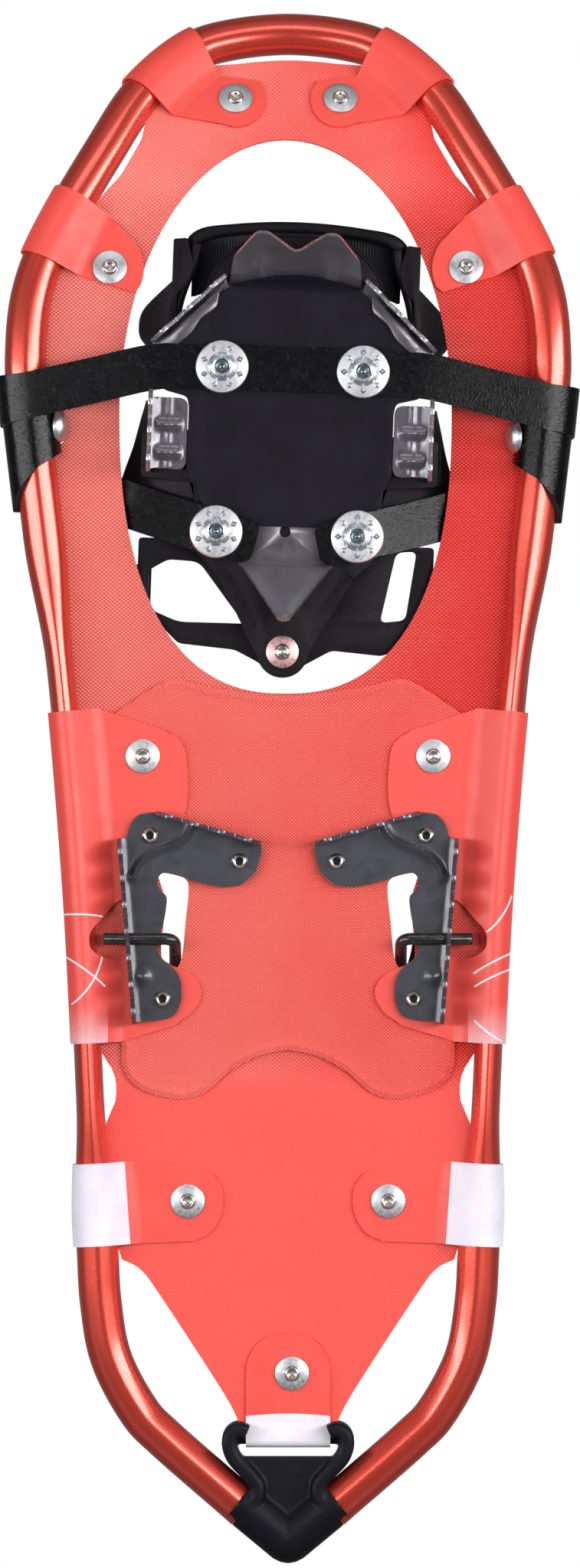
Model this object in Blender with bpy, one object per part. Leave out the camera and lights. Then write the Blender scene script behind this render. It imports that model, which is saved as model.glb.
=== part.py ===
"""Snowshoe, as an assembly of separate named pieces.

Axes: +Y towards the toe, +Z up (sole down), X across. Numbers are millimetres until add() turns them
into metres. Pieces of the frame are drawn flat and then rolled up at the toe by rocker(). Pieces of the
binding are drawn square to the frame and then turned by BINDING_TURN, the way it sits on its strap.
"""
import bpy
import bmesh
import math
from mathutils import Matrix, Vector
from mathutils.geometry import delaunay_2d_cdt

MM = 0.001
GAP = 0.3                    # between pieces that touch

# ---- heights
TUBE_Z = 26.0
DECK = (26.6, 27.5)
UNDER_DECK = (25.4, 26.3)    # first layer below the deck
UNDER_DOUBLER = (24.2, 25.1)
HEEL_PLATE = (22.3, 23.9)
HEEL_PAD = (27.8, 30.3)
BASE = (20.7, 30.0)
STEEL = (18.8, 20.4)
ANTI_BALL = (16.2, 18.5)
STRAP = (13.4, 15.9)
OVER_DECK = 30.2             # middle of the rear straps where they cross the deck
YOKE = (30.3, 32.8)
HEEL_STRAP = (61.0, 78.0)

# ---- frame: half of the tube's centre line, seen from above, from the toe to the tail end
ROCKER_START = 150.0
ROCKER_RADIUS = 207.0
FRAME_HALF = [(0, 272), (22, 269.6), (36.5, 264), (53, 249), (66, 228.5), (84.4, 195.7), (91.8, 175.6),
              (93.9, 155), (93, 137), (87.5, 90), (80.7, 35), (74.4, -42), (70.6, -119), (68.3, -165),
              (67, -186), (63.3, -205.5), (53.6, -224), (43.8, -234.4), (18.6, -256.4)]
TUBE_ROUND = 7.5             # radius at toe and tail
TUBE_FLAT = (5.0, 9.3)       # half width and half height along the squeezed middle
SQUEEZE = (-158, -114, 43, 89)   # round, flat, flat, round again, as places along Y

# ---- deck
OPENING_CENTRE = (0.9, 133.2)
OPENING_HALF_WIDTH = 59.5
OPENING_FRONT = 99.6
OPENING_REAR = 100.4
OPENING_REAR_POWER = 2.4
DECK_INSET = [(272, 4.4), (269.5, 4.4), (268.5, 5.2), (246, 5.2), (244, 2.6), (217, 2.6), (215, 5.2),
              (183, 5.2), (181, 0.5), (152, 0.5), (150, 8.0), (99, 8.0), (97, 0.5), (33, 0.5), (30, 5.2),
              (-98, 5.2), (-104, 6.2), (-120, 6.2), (-131, 5.2), (-166, 5.2)]
DECK_SEAM = 1.0
DECK_TAIL = [(59.5, -170), (53, -173.5), (46, -182.6), (23, -218), (17.3, -229.5), (17.3, -238.4)]
HEEL_SLOT = [(46.5, -31.5), (43, -30.5), (36, -37), (35.5, -41), (36, -65), (43, -67), (45.5, -60),
             (44.6, -50), (44.4, -40)]
WIRE_WINDOW = [(56, -41), (60.5, -41), (66, -47), (71, -52.5), (71, -58.5), (66, -62), (56, -62)]
DOUBLER_TOP = [(0, 32.0), (41, 38.0)]
DOUBLER_WAVE = [(59.6, -92.6), (58.9, -102), (53, -108.8), (40, -112.4), (29.8, -110.2), (20, -102),
                (10.4, -97), (0, -94.8)]

# ---- fasteners: place across, place along Y
DECK_RIVET_WASHER = 6.15
DECK_RIVETS = {"toe": (18.9, 247.3), "front": (63.8, 185.3), "mid": (52.0, 10.3), "rear": (35.9, -149.1)}
TAIL_RIVET = (-1.4, -210.8)
HEEL_RIVETS = [(49.4, -18.0), (17.4, -27.2), (44.9, -76.5)]
BOLTS = [(25.2, 148.5), (25.2, 89.6)]
HEEL_RIVET_HEAD = 3.4
SHANK = 1.9
SHANK_HOLE = 2.2
BOLT_SHANK = 2.6
BOLT_HOLE = 2.9

WRAP_STEPS = 8               # flat stretches of a flap round the tube

# ---- joints
BINDING_PIVOT = Vector((0, 122.0, 24.0))
BINDING_CENTRE = (-0.7, 122.0)
BINDING_TURN = math.radians(2.1)
BAIL_AXIS = Vector((0, -55.0, 19.8))
YOKE_AXIS = (0, 47.6)
WIRE = 2.15

# ---- instep strap arch over the boot
ARCH_Y = 116.8
ARCH_Z = 30.3
ARCH_HALF = 50.0
ARCH_HEIGHT = 72.0
LADDER_LIFT = 3.6            # of the ladder strap above the pad
BUCKLE_ANGLE = 76            # where the buckle sits along the arch, in degrees from the +X foot

COLOURS = {
    "tube": ((0.86, 0.17, 0.09), 0.35, 0.9), "deck": ((0.90, 0.14, 0.11), 0.5, 0.0),
    "tab": ((0.88, 0.12, 0.10), 0.4, 0.0), "print": ((0.82, 0.80, 0.88), 0.4, 0.0),
    "cap": ((0.03, 0.03, 0.035), 0.5, 0.0), "strap": ((0.02, 0.02, 0.02), 0.25, 0.0),
    "plastic": ((0.045, 0.04, 0.05), 0.45, 0.0), "steel": ((0.45, 0.46, 0.48), 0.35, 0.9),
    "painted": ((0.12, 0.12, 0.14), 0.5, 0.4), "alloy": ((0.62, 0.65, 0.70), 0.3, 1.0),
    "wire": ((0.02, 0.02, 0.02), 0.4, 0.2), "pad": ((0.05, 0.05, 0.05), 0.7, 0.0)}


# ---------------------------------------------------------------- shape of the frame
def flat_y(y):
    """Length along the rolled-up frame for a place seen from above."""
    if y <= ROCKER_START:
        return y
    return ROCKER_START + ROCKER_RADIUS * math.asin((y - ROCKER_START) / ROCKER_RADIUS)


def rocker(point):
    """Roll a flat-drawn point up at the toe."""
    x, y, z = point
    if y <= ROCKER_START:
        return Vector(point)
    angle = (y - ROCKER_START) / ROCKER_RADIUS
    arm = ROCKER_RADIUS - (z - TUBE_Z)
    return Vector((x, ROCKER_START + arm * math.sin(angle), TUBE_Z + ROCKER_RADIUS - arm * math.cos(angle)))


def turned(point):
    """Turn a binding point about the binding's centre."""
    cx, cy = BINDING_CENTRE
    spin = Matrix.Rotation(BINDING_TURN, 3, "Z")
    return spin @ (Vector(point) - Vector((0, cy, 0))) + Vector((cx, cy, 0))


def curve_through(points, steps):
    """Catmull-Rom curve through the points, with the given number of steps between each pair."""
    pts = [Vector(p) for p in points]
    pts = [2 * pts[0] - pts[1]] + pts + [2 * pts[-1] - pts[-2]]
    line = []
    for i in range(1, len(pts) - 2):
        a, b, c, d = pts[i - 1:i + 3]
        for k in range(steps):
            t = k / steps
            line.append(0.5 * (2 * b + (c - a) * t + (2 * a - 5 * b + 4 * c - d) * t * t
                               + (3 * b - a - 3 * c + d) * t ** 3))
    return line + [pts[-2]]


def frame_line(steps):
    """The whole centre line, flat, from the +X tail end round the toe to the -X tail end."""
    half = [(x, flat_y(y)) for x, y in FRAME_HALF]
    other_side = [(-x, y) for x, y in half[1:]]
    return curve_through([Vector(p) for p in half[::-1] + other_side], steps)


def blend(value, stops):
    """Piecewise linear reading of (place, amount) stops, with falling or rising places."""
    stops = sorted(stops)
    if value <= stops[0][0]:
        return stops[0][1]
    for (a, va), (b, vb) in zip(stops, stops[1:]):
        if value <= b:
            return va + (vb - va) * (value - a) / (b - a)
    return stops[-1][1]


def tube_half(y):
    """Half width and half height of the tube at a flat place along Y."""
    out = []
    for flat in TUBE_FLAT:
        stops = zip(SQUEEZE, (TUBE_ROUND, flat, flat, TUBE_ROUND))
        out.append(blend(y, list(stops)))
    return out


# ---------------------------------------------------------------- mesh helpers
def mesh_from(verts, faces):
    bm = bmesh.new()
    made = [bm.verts.new(v) for v in verts]
    for face in faces:
        bm.faces.new([made[i] for i in face])
    bmesh.ops.recalc_face_normals(bm, faces=bm.faces)
    mesh = bpy.data.meshes.new("piece")
    bm.to_mesh(mesh)
    bm.free()
    return mesh


def thinned(points, most_off):
    """Drop the points of a line that lie closer than most_off to the line through those kept."""
    kept = [points[0]]
    start = 0
    for end in range(2, len(points)):
        a, b = Vector(points[start]), Vector(points[end])
        run = (b - a).normalized()
        off = max(abs(run.cross(Vector(p) - a)) for p in points[start + 1:end])
        if off > most_off or (b - a).length > 16:
            kept.append(points[end - 1])
            start = end - 1
    return kept + [points[-1]]


def inside(point, outline):
    x, y = point
    hit = False
    for (ax, ay), (bx, by) in zip(outline, outline[1:] + outline[:1]):
        if (ay > y) != (by > y) and x < (bx - ax) * (y - ay) / (by - ay) + ax:
            hit = not hit
    return hit


def plate(outline, low, high, holes=(), grid=0.0, grid_from=ROCKER_START):
    """Flat plate with holes. A grid of extra points lets it bend cleanly beyond grid_from."""
    loops = [[tuple(p) for p in outline]] + [[tuple(p) for p in hole] for hole in holes]
    points = [Vector(p) for loop in loops for p in loop]
    edges = []
    start = 0
    for loop in loops:
        edges += [(start + i, start + (i + 1) % len(loop)) for i in range(len(loop))]
        start += len(loop)
    if grid:
        xs = [p[0] for p in loops[0]]
        ys = [p[1] for p in loops[0]]
        rim = list(points)
        y = grid_from
        while y < max(ys):
            x = min(xs) + grid / 2
            while x < max(xs):
                spot = Vector((x, y))
                clear = min((spot - r).length for r in rim) > grid * 0.45
                if clear and inside(spot, loops[0]) and not any(inside(spot, h) for h in loops[1:]):
                    points.append(spot)
                x += grid
            y += grid
    flat, _, tris, _, _, _ = delaunay_2d_cdt(points, edges, [], 0, 1e-5)
    kept = []
    for tri in tris:
        mid = sum((flat[i] for i in tri), Vector((0, 0))) / 3
        if inside(mid, loops[0]) and not any(inside(mid, hole) for hole in loops[1:]):
            kept.append(tuple(tri))
    count = len(flat)
    verts = [(p.x, p.y, low) for p in flat] + [(p.x, p.y, high) for p in flat]
    uses = {}
    for tri in kept:
        for a, b in zip(tri, tri[1:] + tri[:1]):
            uses.setdefault(frozenset((a, b)), []).append((a, b))
    faces = [tri[::-1] for tri in kept] + [tuple(i + count for i in tri) for tri in kept]
    for way in uses.values():
        if len(way) == 1:
            a, b = way[0]
            faces.append((a, b, b + count, a + count))
    used = sorted({i for face in faces for i in face})
    renumber = {old: new for new, old in enumerate(used)}
    return mesh_from([verts[i] for i in used], [tuple(renumber[i] for i in face) for face in faces])


def slab(outline, origin, along, across, thickness):
    """A plate drawn in its own plane: outline in (along, across), thickened on both sides."""
    mesh = plate(outline, -thickness / 2, thickness / 2)
    u = Vector(along).normalized()
    w = u.cross(Vector(across)).normalized()
    v = w.cross(u)
    frame = Matrix((u, v, w)).transposed()
    for vert in mesh.vertices:
        vert.co = Vector(origin) + frame @ vert.co
    return mesh


def sweep(path, section, up=None):
    """Run a closed section along a path. The section is a list of (side, up), or a function of the step."""
    path = [Vector(p) for p in path]
    rings = []
    lift = Vector(up) if up is not None else None
    for i, point in enumerate(path):
        run = (path[min(i + 1, len(path) - 1)] - path[max(i - 1, 0)]).normalized()
        if up is None:
            if lift is None:
                lift = Vector((0, 0, 1)) if abs(run.z) < 0.8 else Vector((0, 1, 0))
            lift = (lift - run * lift.dot(run)).normalized()
        side = run.cross(lift).normalized()
        top = side.cross(run)
        shape = section(i) if callable(section) else section
        rings.append([point + side * a + top * b for a, b in shape])
    count = len(rings[0])
    verts = [v for ring in rings for v in ring]
    faces = [tuple(range(count)), tuple(range(len(verts) - count, len(verts)))]
    for r in range(len(rings) - 1):
        for i in range(count):
            j = (i + 1) % count
            faces.append((r * count + i, r * count + j, (r + 1) * count + j, (r + 1) * count + i))
    return mesh_from(verts, faces)


def shell(grid, thickness):
    """Thicken a grid of points (rows of equal length) into a closed skin."""
    rows, cols = len(grid), len(grid[0])
    top, bottom = [], []
    for i in range(rows):
        for j in range(cols):
            du = grid[min(i + 1, rows - 1)][j] - grid[max(i - 1, 0)][j]
            dv = grid[i][min(j + 1, cols - 1)] - grid[i][max(j - 1, 0)]
            normal = du.cross(dv).normalized()
            top.append(grid[i][j] + normal * thickness / 2)
            bottom.append(grid[i][j] - normal * thickness / 2)
    n = rows * cols
    faces = []
    for i in range(rows - 1):
        for j in range(cols - 1):
            a, b, c, d = i * cols + j, i * cols + j + 1, (i + 1) * cols + j + 1, (i + 1) * cols + j
            faces += [(a, b, c, d), (d + n, c + n, b + n, a + n)]
    rim = [(i, 0) for i in range(rows)] + [(rows - 1, j) for j in range(1, cols)]
    rim += [(i, cols - 1) for i in range(rows - 2, -1, -1)] + [(0, j) for j in range(cols - 2, 0, -1)]
    for (i, j), (k, m) in zip(rim, rim[1:] + rim[:1]):
        a, b = i * cols + j, k * cols + m
        faces.append((a, b, b + n, a + n))
    return mesh_from(top + bottom, faces)


def lathe(profile, centre, axis=(0, 0, 1), sides=12):
    """Turn a profile of (radius, height), first and last on the axis, about an axis through centre."""
    spin = Vector((0, 0, 1)).rotation_difference(Vector(axis)).to_matrix()
    verts = [Vector((0, 0, profile[0][1]))]
    for radius, height in profile[1:-1]:
        for i in range(sides):
            turn = 2 * math.pi * i / sides
            verts.append(Vector((radius * math.cos(turn), radius * math.sin(turn), height)))
    verts.append(Vector((0, 0, profile[-1][1])))
    last = len(verts) - 1
    faces = []
    for i in range(sides):
        j = (i + 1) % sides
        faces.append((0, 1 + j, 1 + i))
        for r in range(len(profile) - 3):
            a, b = 1 + r * sides, 1 + (r + 1) * sides
            faces.append((a + i, a + j, b + j, b + i))
        end = 1 + (len(profile) - 3) * sides
        faces.append((end + i, end + j, last))
    return mesh_from([Vector(centre) + spin @ v for v in verts], faces)


def rod(centre, radius, low, high, axis=(0, 0, 1), sides=12):
    return lathe([(0, low), (radius, low), (radius, high), (0, high)], centre, axis, sides)


def circle(centre, radius, sides=12):
    return [(centre[0] + radius * math.cos(2 * math.pi * i / sides),
             centre[1] + radius * math.sin(2 * math.pi * i / sides)) for i in range(sides)]


def boolean(mesh, others, operation):
    """Union or difference with every other mesh, by the exact solver."""
    for other in others:
        host = bpy.data.objects.new("host", mesh)
        tool = bpy.data.objects.new("tool", other)
        for item in (host, tool):
            bpy.context.collection.objects.link(item)
        step = host.modifiers.new("cut", "BOOLEAN")
        step.operation = operation
        step.solver = "EXACT"
        step.object = tool
        bpy.context.view_layer.update()
        ready = host.evaluated_get(bpy.context.evaluated_depsgraph_get())
        mesh = bpy.data.meshes.new_from_object(ready)
        for item in (host, tool):
            bpy.data.objects.remove(item)
    return mesh


def union(meshes):
    return boolean(meshes[0], meshes[1:], "UNION")


def mirrored(mesh):
    """A copy on the other side of the X = 0 plane."""
    twin = mesh.copy()
    twin.transform(Matrix.Scale(-1, 4, (1, 0, 0)))
    twin.flip_normals()
    return twin


def add(name, mesh, colour, place=rocker, origin=Vector((0, 0, 0))):
    """Make the named object in metres, with its origin on its joint's axis."""
    for vert in mesh.vertices:
        vert.co = (place(vert.co) - origin) * MM
    mesh.update()
    mesh.name = name
    piece = bpy.data.objects.new(name, mesh)
    piece.location = origin * MM
    bpy.context.collection.objects.link(piece)
    colour_value, roughness, metallic = COLOURS[colour]
    material = bpy.data.materials.new(name)
    material.use_nodes = True
    shader = material.node_tree.nodes["Principled BSDF"]
    shader.inputs["Base Color"].default_value = (*colour_value, 1.0)
    shader.inputs["Roughness"].default_value = roughness
    shader.inputs["Metallic"].default_value = metallic
    mesh.materials.clear()
    mesh.materials.append(material)
    mesh.shade_smooth()
    mesh.set_sharp_from_angle(angle=math.radians(32))
    return piece


def add_pair(name, mesh, colour, place=rocker, origin=Vector((0, 0, 0))):
    """The +X piece is the right one, seen from above with the toe ahead."""
    twin = mirrored(mesh)
    add(name + "_right", mesh, colour, place, origin)
    add(name + "_left", twin, colour, place, origin)


# ---------------------------------------------------------------- frame
def tube_section(half_width, half_height, sides=10):
    return [(half_width * math.cos(2 * math.pi * i / sides), half_height * math.sin(2 * math.pi * i / sides))
            for i in range(sides)]


def make_frame_tube():
    path = [(p.x, p.y, TUBE_Z) for p in frame_line(2)]

    def section(i):
        return tube_section(*tube_half(path[i][1]))
    add("frame_tube", sweep(path, section, up=(0, 0, 1)), "tube")


def make_tail_cap():
    """Moulded cap that both tube ends and the tail of the deck go into."""
    half = [(18.2, -233.5), (18.6, -229), (21.5, -226.8), (24.1, -230), (23.6, -261), (3, -277.9)]
    outline = half + [(0, -279.55)] + [(-x, y) for x, y in half[::-1]]
    slot = [(18.0, -236.6), (-18.0, -236.6), (-18.0, -240.4), (18.0, -240.4)]
    body = plate(outline, TUBE_Z - 9.2, TUBE_Z + 9.2, [slot])
    mouth = [(17.9, -231), (-17.9, -231), (-17.9, -238), (17.9, -238)]
    slit = plate(mouth, UNDER_DECK[0] - GAP, DECK[1] + GAP)
    ends = [slit]
    for side in (1, -1):
        (ax, ay), (bx, by) = FRAME_HALF[-2], FRAME_HALF[-1]
        run = Vector((bx - ax, by - ay)).normalized() * GAP
        tip = Vector((side * (bx + run.x), by + run.y, TUBE_Z))
        tail = Vector((side * ax, ay, TUBE_Z)) + (Vector((side * ax, ay, TUBE_Z)) - tip)
        ends.append(sweep([tail, tip], tube_section(TUBE_ROUND + GAP, TUBE_ROUND + GAP, 24), up=(0, 0, 1)))
    add("tail_cap", boolean(body, ends, "DIFFERENCE"), "cap")


def opening_outline(sides=36):
    cx, cy = OPENING_CENTRE
    points = []
    for i in range(sides):
        turn = 2 * math.pi * i / sides
        c, s = math.cos(turn), math.sin(turn)
        if s >= 0:
            x, y = OPENING_HALF_WIDTH * c, OPENING_FRONT * s
        else:
            power = 2 / OPENING_REAR_POWER
            x = OPENING_HALF_WIDTH * math.copysign(abs(c) ** power, c)
            y = -OPENING_REAR * abs(s) ** power
        points.append((cx + x, flat_y(cy + y)))
    return points


def deck_edge(y):
    """How far inside the tube's centre line the deck's edge runs, at a flat place along Y."""
    stops = [(flat_y(place), extra) for place, extra in DECK_INSET]
    return tube_half(y)[0] + blend(y, stops)


def deck_outline():
    line = frame_line(24)
    half = []
    for i in range(1, len(line) - 1):
        point = line[i]
        if point.x < -0.01 or point.y < -166:
            continue
        run = (line[i + 1] - line[i - 1]).normalized()
        inward = Vector((-run.y, run.x))
        half.append(point + inward * deck_edge(point.y))
    half = thinned([(p.x, p.y) for p in half if p.x > 0.5], 0.08)
    half = DECK_TAIL[::-1] + half
    return half + [(-x, y) for x, y in half[::-1]]


def rivet_places(names):
    return [(side * DECK_RIVETS[n][0], flat_y(DECK_RIVETS[n][1])) for n in names for side in (1, -1)]


def heel_rivet_places():
    return [(side * x, y) for x, y in HEEL_RIVETS for side in (1, -1)]


def heel_slots():
    return [HEEL_SLOT, [(-x, y) for x, y in HEEL_SLOT[::-1]]]


def clipped(outline, low, high):
    """The part of an outline that lies between two places along Y."""
    kept = []
    for a, b in zip(outline, outline[1:] + outline[:1]):
        if low <= a[1] <= high:
            kept.append(a)
        for level in (low, high):
            if (a[1] - level) * (b[1] - level) < 0:
                share = (level - a[1]) / (b[1] - a[1])
                kept.append((a[0] + (b[0] - a[0]) * share, level))
    return kept


def make_deck():
    """Front and rear sheets, which meet above the doubler."""
    outline = deck_outline()
    places = rivet_places(DECK_RIVETS) + [TAIL_RIVET] + heel_rivet_places()
    holes = [opening_outline()] + [circle(p, SHANK_HOLE, 8) for p in places] + heel_slots()
    top, tail = max(y for x, y in outline), min(y for x, y in outline)
    sheets = {"deck_sheet": (DECK_SEAM + GAP / 2, top + 1), "deck_rear_sheet": (tail - 1, DECK_SEAM - GAP / 2)}
    for name, (low, high) in sheets.items():
        own = [hole for hole in holes if low < hole[0][1] < high]
        add(name, plate(clipped(outline, low, high), *DECK, own, grid=9.0), "deck")


def make_doubler():
    """Second layer under the deck at the heel."""
    side = [(p.x - deck_edge(p.y), p.y) for p in frame_line(2) if p.x > 0 and -90 < p.y < 28][::-1]
    half = DOUBLER_TOP[1:] + side + DOUBLER_WAVE
    outline = half + [(-x, y) for x, y in half[-2::-1]]
    outline.append((0, DOUBLER_TOP[0][1] - 0.5))
    holes = [circle(p, SHANK_HOLE, 8) for p in rivet_places(["mid"]) + heel_rivet_places()] + heel_slots()
    add("deck_doubler", plate(outline, *UNDER_DECK, holes), "deck")


# ---------------------------------------------------------------- wrap tabs
def tube_place(side, low, high, rows):
    """Rows of (centre, inward) along the tube between two flat places along Y, or across X at the toe."""
    line = [p for p in frame_line(24) if p.x * side > 0]
    if side < 0:
        line = line[::-1]
    picked = [p for p in line if low <= p.y <= high]
    rows_out = []
    for k in range(rows):
        i = round(k * (len(picked) - 1) / (rows - 1))
        a, b = picked[max(i - 1, 0)], picked[min(i + 1, len(picked) - 1)]
        run = (b - a).normalized()
        inward = Vector((-run.y, run.x)) * side
        rows_out.append((picked[i], inward))
    return rows_out


def wrap_tab(side, low, high, ends, level, rows=7, flat_steps=2):
    """A flap of the deck: from the deck's edge over the tube, round it and back under the deck.

    ends gives the inner edge of the flap, one point for each row, drawn for the +X side.
    """
    thick = level[1] - level[0]
    flat = sum(level) / 2 - TUBE_Z
    start = sum(DECK) / 2 - TUBE_Z
    places = tube_place(side, flat_y(low), flat_y(high), rows)
    end_line = [Vector((x * side, flat_y(y))) for x, y in ends]
    grid = []
    for k, (centre, inward) in enumerate(places):
        half_width, half_height = tube_half(centre.y)
        rw, rh = half_width + GAP + thick / 2, half_height + GAP + thick / 2

        def at(n, z):
            spot = centre + inward * n
            return Vector((spot.x, spot.y, TUBE_Z + z))
        first = Vector(((half_width + 4.0) / rw, start / rh))
        last = Vector(((half_width + 6.8) / rw, flat / rh))
        a = math.atan2(first.y, first.x) + math.acos(1 / first.length)
        b = 2 * math.pi + math.atan2(last.y, last.x) - math.acos(1 / last.length)
        outside = 1 / math.cos((b - a) / WRAP_STEPS / 2)
        row = [at(half_width + 4.0, start)]
        for m in range(WRAP_STEPS + 1):
            turn = a + (b - a) * m / WRAP_STEPS
            row.append(at(outside * rw * math.cos(turn), outside * rh * math.sin(turn)))
        knee = at(half_width + 6.8, flat)
        row.append(knee)
        end = end_line[k]
        for m in range(1, flat_steps + 1):
            t = m / flat_steps
            row.append(Vector((knee.x + (end.x - knee.x) * t, knee.y + (end.y - knee.y) * t, knee.z)))
        grid.append(row)
    return shell(grid, thick)


def round_end(centre, radius, towards, spread, rows):
    """Points of a rounded flap end: an arc about centre, middle point in the direction towards."""
    points = []
    for k in range(rows):
        turn = math.radians(towards - spread + 2 * spread * k / (rows - 1))
        points.append((centre[0] + radius * math.cos(turn), centre[1] + radius * math.sin(turn)))
    return points


TABS = {
    # name: (low, high along Y, inner edge, level, flat steps)
    "toe": (248.5, 266.5, round_end((18.5, 247.3), 10.3, 218, 78, 7)[::-1], UNDER_DECK, 4),
    "front": (187.5, 211.0, [(55.5, 176.5), (53.2, 178.5), (52, 182), (51.7, 186), (52.5, 190), (54.5, 194),
                             (57.5, 197)], UNDER_DECK, 3),
    "mid": (-95.5, 27.3, [(36.5, -85.5), (31.3, -74.5), (48.8, -61), (49, -34), (37, -8), (36.8, 10),
                          (47, 20.5)], UNDER_DOUBLER, 2),
    "rear": (-165.0, -133.5, [(34, -163.5), (28, -160.5), (24.3, -155), (23.1, -149), (24, -143.5),
                              (28, -138.5), (34, -136.5)], UNDER_DECK, 2)}


def make_tabs():
    for name, (low, high, ends, level, steps) in TABS.items():
        for side, word in ((1, "right"), (-1, "left")):
            x, y = DECK_RIVETS[name]
            mesh = wrap_tab(side, low, high, ends, level, flat_steps=steps)
            places = [(x, flat_y(y))] + ([HEEL_RIVETS[0], HEEL_RIVETS[2]] if name == "mid" else [])
            cutters = [rod((side * px, py, 0), SHANK_HOLE, level[0] - 4, level[1] + 4, sides=8)
                       for px, py in places]
            if name == "mid":
                cutters.append(plate([(side * px, py) for px, py in WIRE_WINDOW], 10, UNDER_DECK[0]))
            mesh = boolean(mesh, cutters, "DIFFERENCE")
            add(f"{name}_tab_{word}", mesh, "print" if name == "rear" else "tab")
    half_width = 15.1
    top = circle((0, -210.5), half_width, 16)[:9]
    outline = top + [(-half_width, -240.0), (half_width, -240.0)]
    hole = circle(TAIL_RIVET, SHANK_HOLE, 8)
    add("tail_tab", plate(outline, *UNDER_DECK, [hole]), "tab")


def deck_rivet(place, lowest):
    """Rivet with its washer, through the flap and the deck."""
    z = lowest - GAP
    profile = [(0, z - 2.2), (2.0, z - 2.0), (2.8, z - 1.1), (DECK_RIVET_WASHER - 0.4, z - 1.0),
               (DECK_RIVET_WASHER, z), (SHANK, z), (SHANK, DECK[1] + GAP), (3.2, DECK[1] + GAP),
               (2.6, DECK[1] + GAP + 1.1), (0, DECK[1] + GAP + 1.3)]
    return lathe(profile, (place[0], place[1], 0))


def make_deck_rivets():
    for name, (x, y) in DECK_RIVETS.items():
        level = TABS[name][3]
        for side, word in ((1, "right"), (-1, "left")):
            add(f"{name}_rivet_{word}", deck_rivet((side * x, flat_y(y)), level[0]), "alloy")
    add("tail_rivet", deck_rivet(TAIL_RIVET, UNDER_DECK[0]), "alloy")


# ---------------------------------------------------------------- heel
def toothed(length, top, root, teeth, lean=0.5):
    """Outline of an upright blade: straight top edge, a row of teeth whose tips are at height 0."""
    pitch = length / teeth
    points = [(length, top), (0, top), (0, root)]
    for k in range(teeth):
        points += [(pitch * (k + lean) - pitch * 0.08, 0), (pitch * (k + lean) + pitch * 0.08, 0)]
        points.append((pitch * (k + 1), root))
    return points


def blade(start, end, top, root, teeth):
    """Upright toothed blade between two places, seen from above."""
    run = Vector((end[0] - start[0], end[1] - start[1], 0))
    return slab(toothed(run.length, top, root, teeth), (start[0], start[1], 0), run, (0, 0, 1), 1.6)


def heel_crampon():
    outline = [(60.8, -17), (55.2, -85.5), (41.2, -83), (38.1, -79), (38.3, -69.5), (42, -68.5), (47, -61),
               (46.6, -52.8), (46.4, -43), (46.8, -37), (48, -32), (42, -29), (37.9, -33.3), (23.6, -36.6),
               (16.2, -35), (9, -21), (47.5, -9.4), (54, -10)]
    places = HEEL_RIVETS
    body = plate(outline, *HEEL_PLATE, [circle(p, SHANK_HOLE, 8) for p in places])
    outer = blade((60.1, -18.5), (54.6, -85.3), HEEL_PLATE[1] - 0.2, 11.5, 7)
    outer = boolean(outer, [rod((0, BAIL_AXIS.y, BAIL_AXIS.z), WIRE + GAP, 40, 80, (1, 0, 0))], "DIFFERENCE")
    front = blade((46.5, -10.6), (10.5, -20.6), HEEL_PLATE[1] - 0.2, 12.5, 4)
    return union([body, outer, front])


def make_heel():
    add_pair("heel_crampon", heel_crampon(), "painted")
    low = HEEL_PLATE[0] - GAP
    high = DECK[1] + GAP
    profile = [(0, low - 1.8), (1.8, low - 1.6), (2.9, low - 0.7), (2.9, low), (SHANK, low), (SHANK, high),
               (HEEL_RIVET_HEAD, high), (2.8, high + 1.0), (0, high + 1.2)]
    for word, (x, y) in zip(("front", "inner", "rear"), HEEL_RIVETS):
        for side, hand in ((1, "right"), (-1, "left")):
            add(f"heel_rivet_{word}_{hand}", lathe(profile, (side * x, y, 0)), "alloy")
    half = [(34.5, -36), (34.5, -78), (26, -85), (0, -85)]
    outline = [(0, -22), (26, -22)] + half + [(-x, y) for x, y in half[-2::-1]] + [(-26, -22)]
    x, y = HEEL_RIVETS[1]
    holes = [circle((side * x, y), HEEL_RIVET_HEAD + GAP) for side in (1, -1)]
    add("heel_pad", plate(outline, *HEEL_PAD, holes), "pad")


def round_corners(points, radius, steps=4):
    """Replace each inner corner of a path by an arc-like run of points."""
    pts = [Vector(p) for p in points]
    path = [pts[0]]
    for a, b, c in zip(pts, pts[1:], pts[2:]):
        into = b + (a - b).normalized() * radius
        out = b + (c - b).normalized() * radius
        for k in range(steps + 1):
            t = k / steps
            path.append(into * (1 - t) ** 2 + b * 2 * t * (1 - t) + out * t * t)
    return path + [pts[-1]]


def make_bail():
    """Wire heel lift, lying back on the deck."""
    y, z = BAIL_AXIS.y, BAIL_AXIS.z
    top = DECK[1] + GAP + WIRE + 0.4
    half = [(66.0, y, z), (40.4, y, z), (40.4, y - 8.2, top), (40.4, y - 36, top)]
    points = half + [(-p[0], p[1], p[2]) for p in half[::-1]]
    ring = tube_section(WIRE, WIRE, 8)
    add("heel_lift_bail", sweep(round_corners(points, 4.0, 2), ring), "wire", rocker, BAIL_AXIS)


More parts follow.
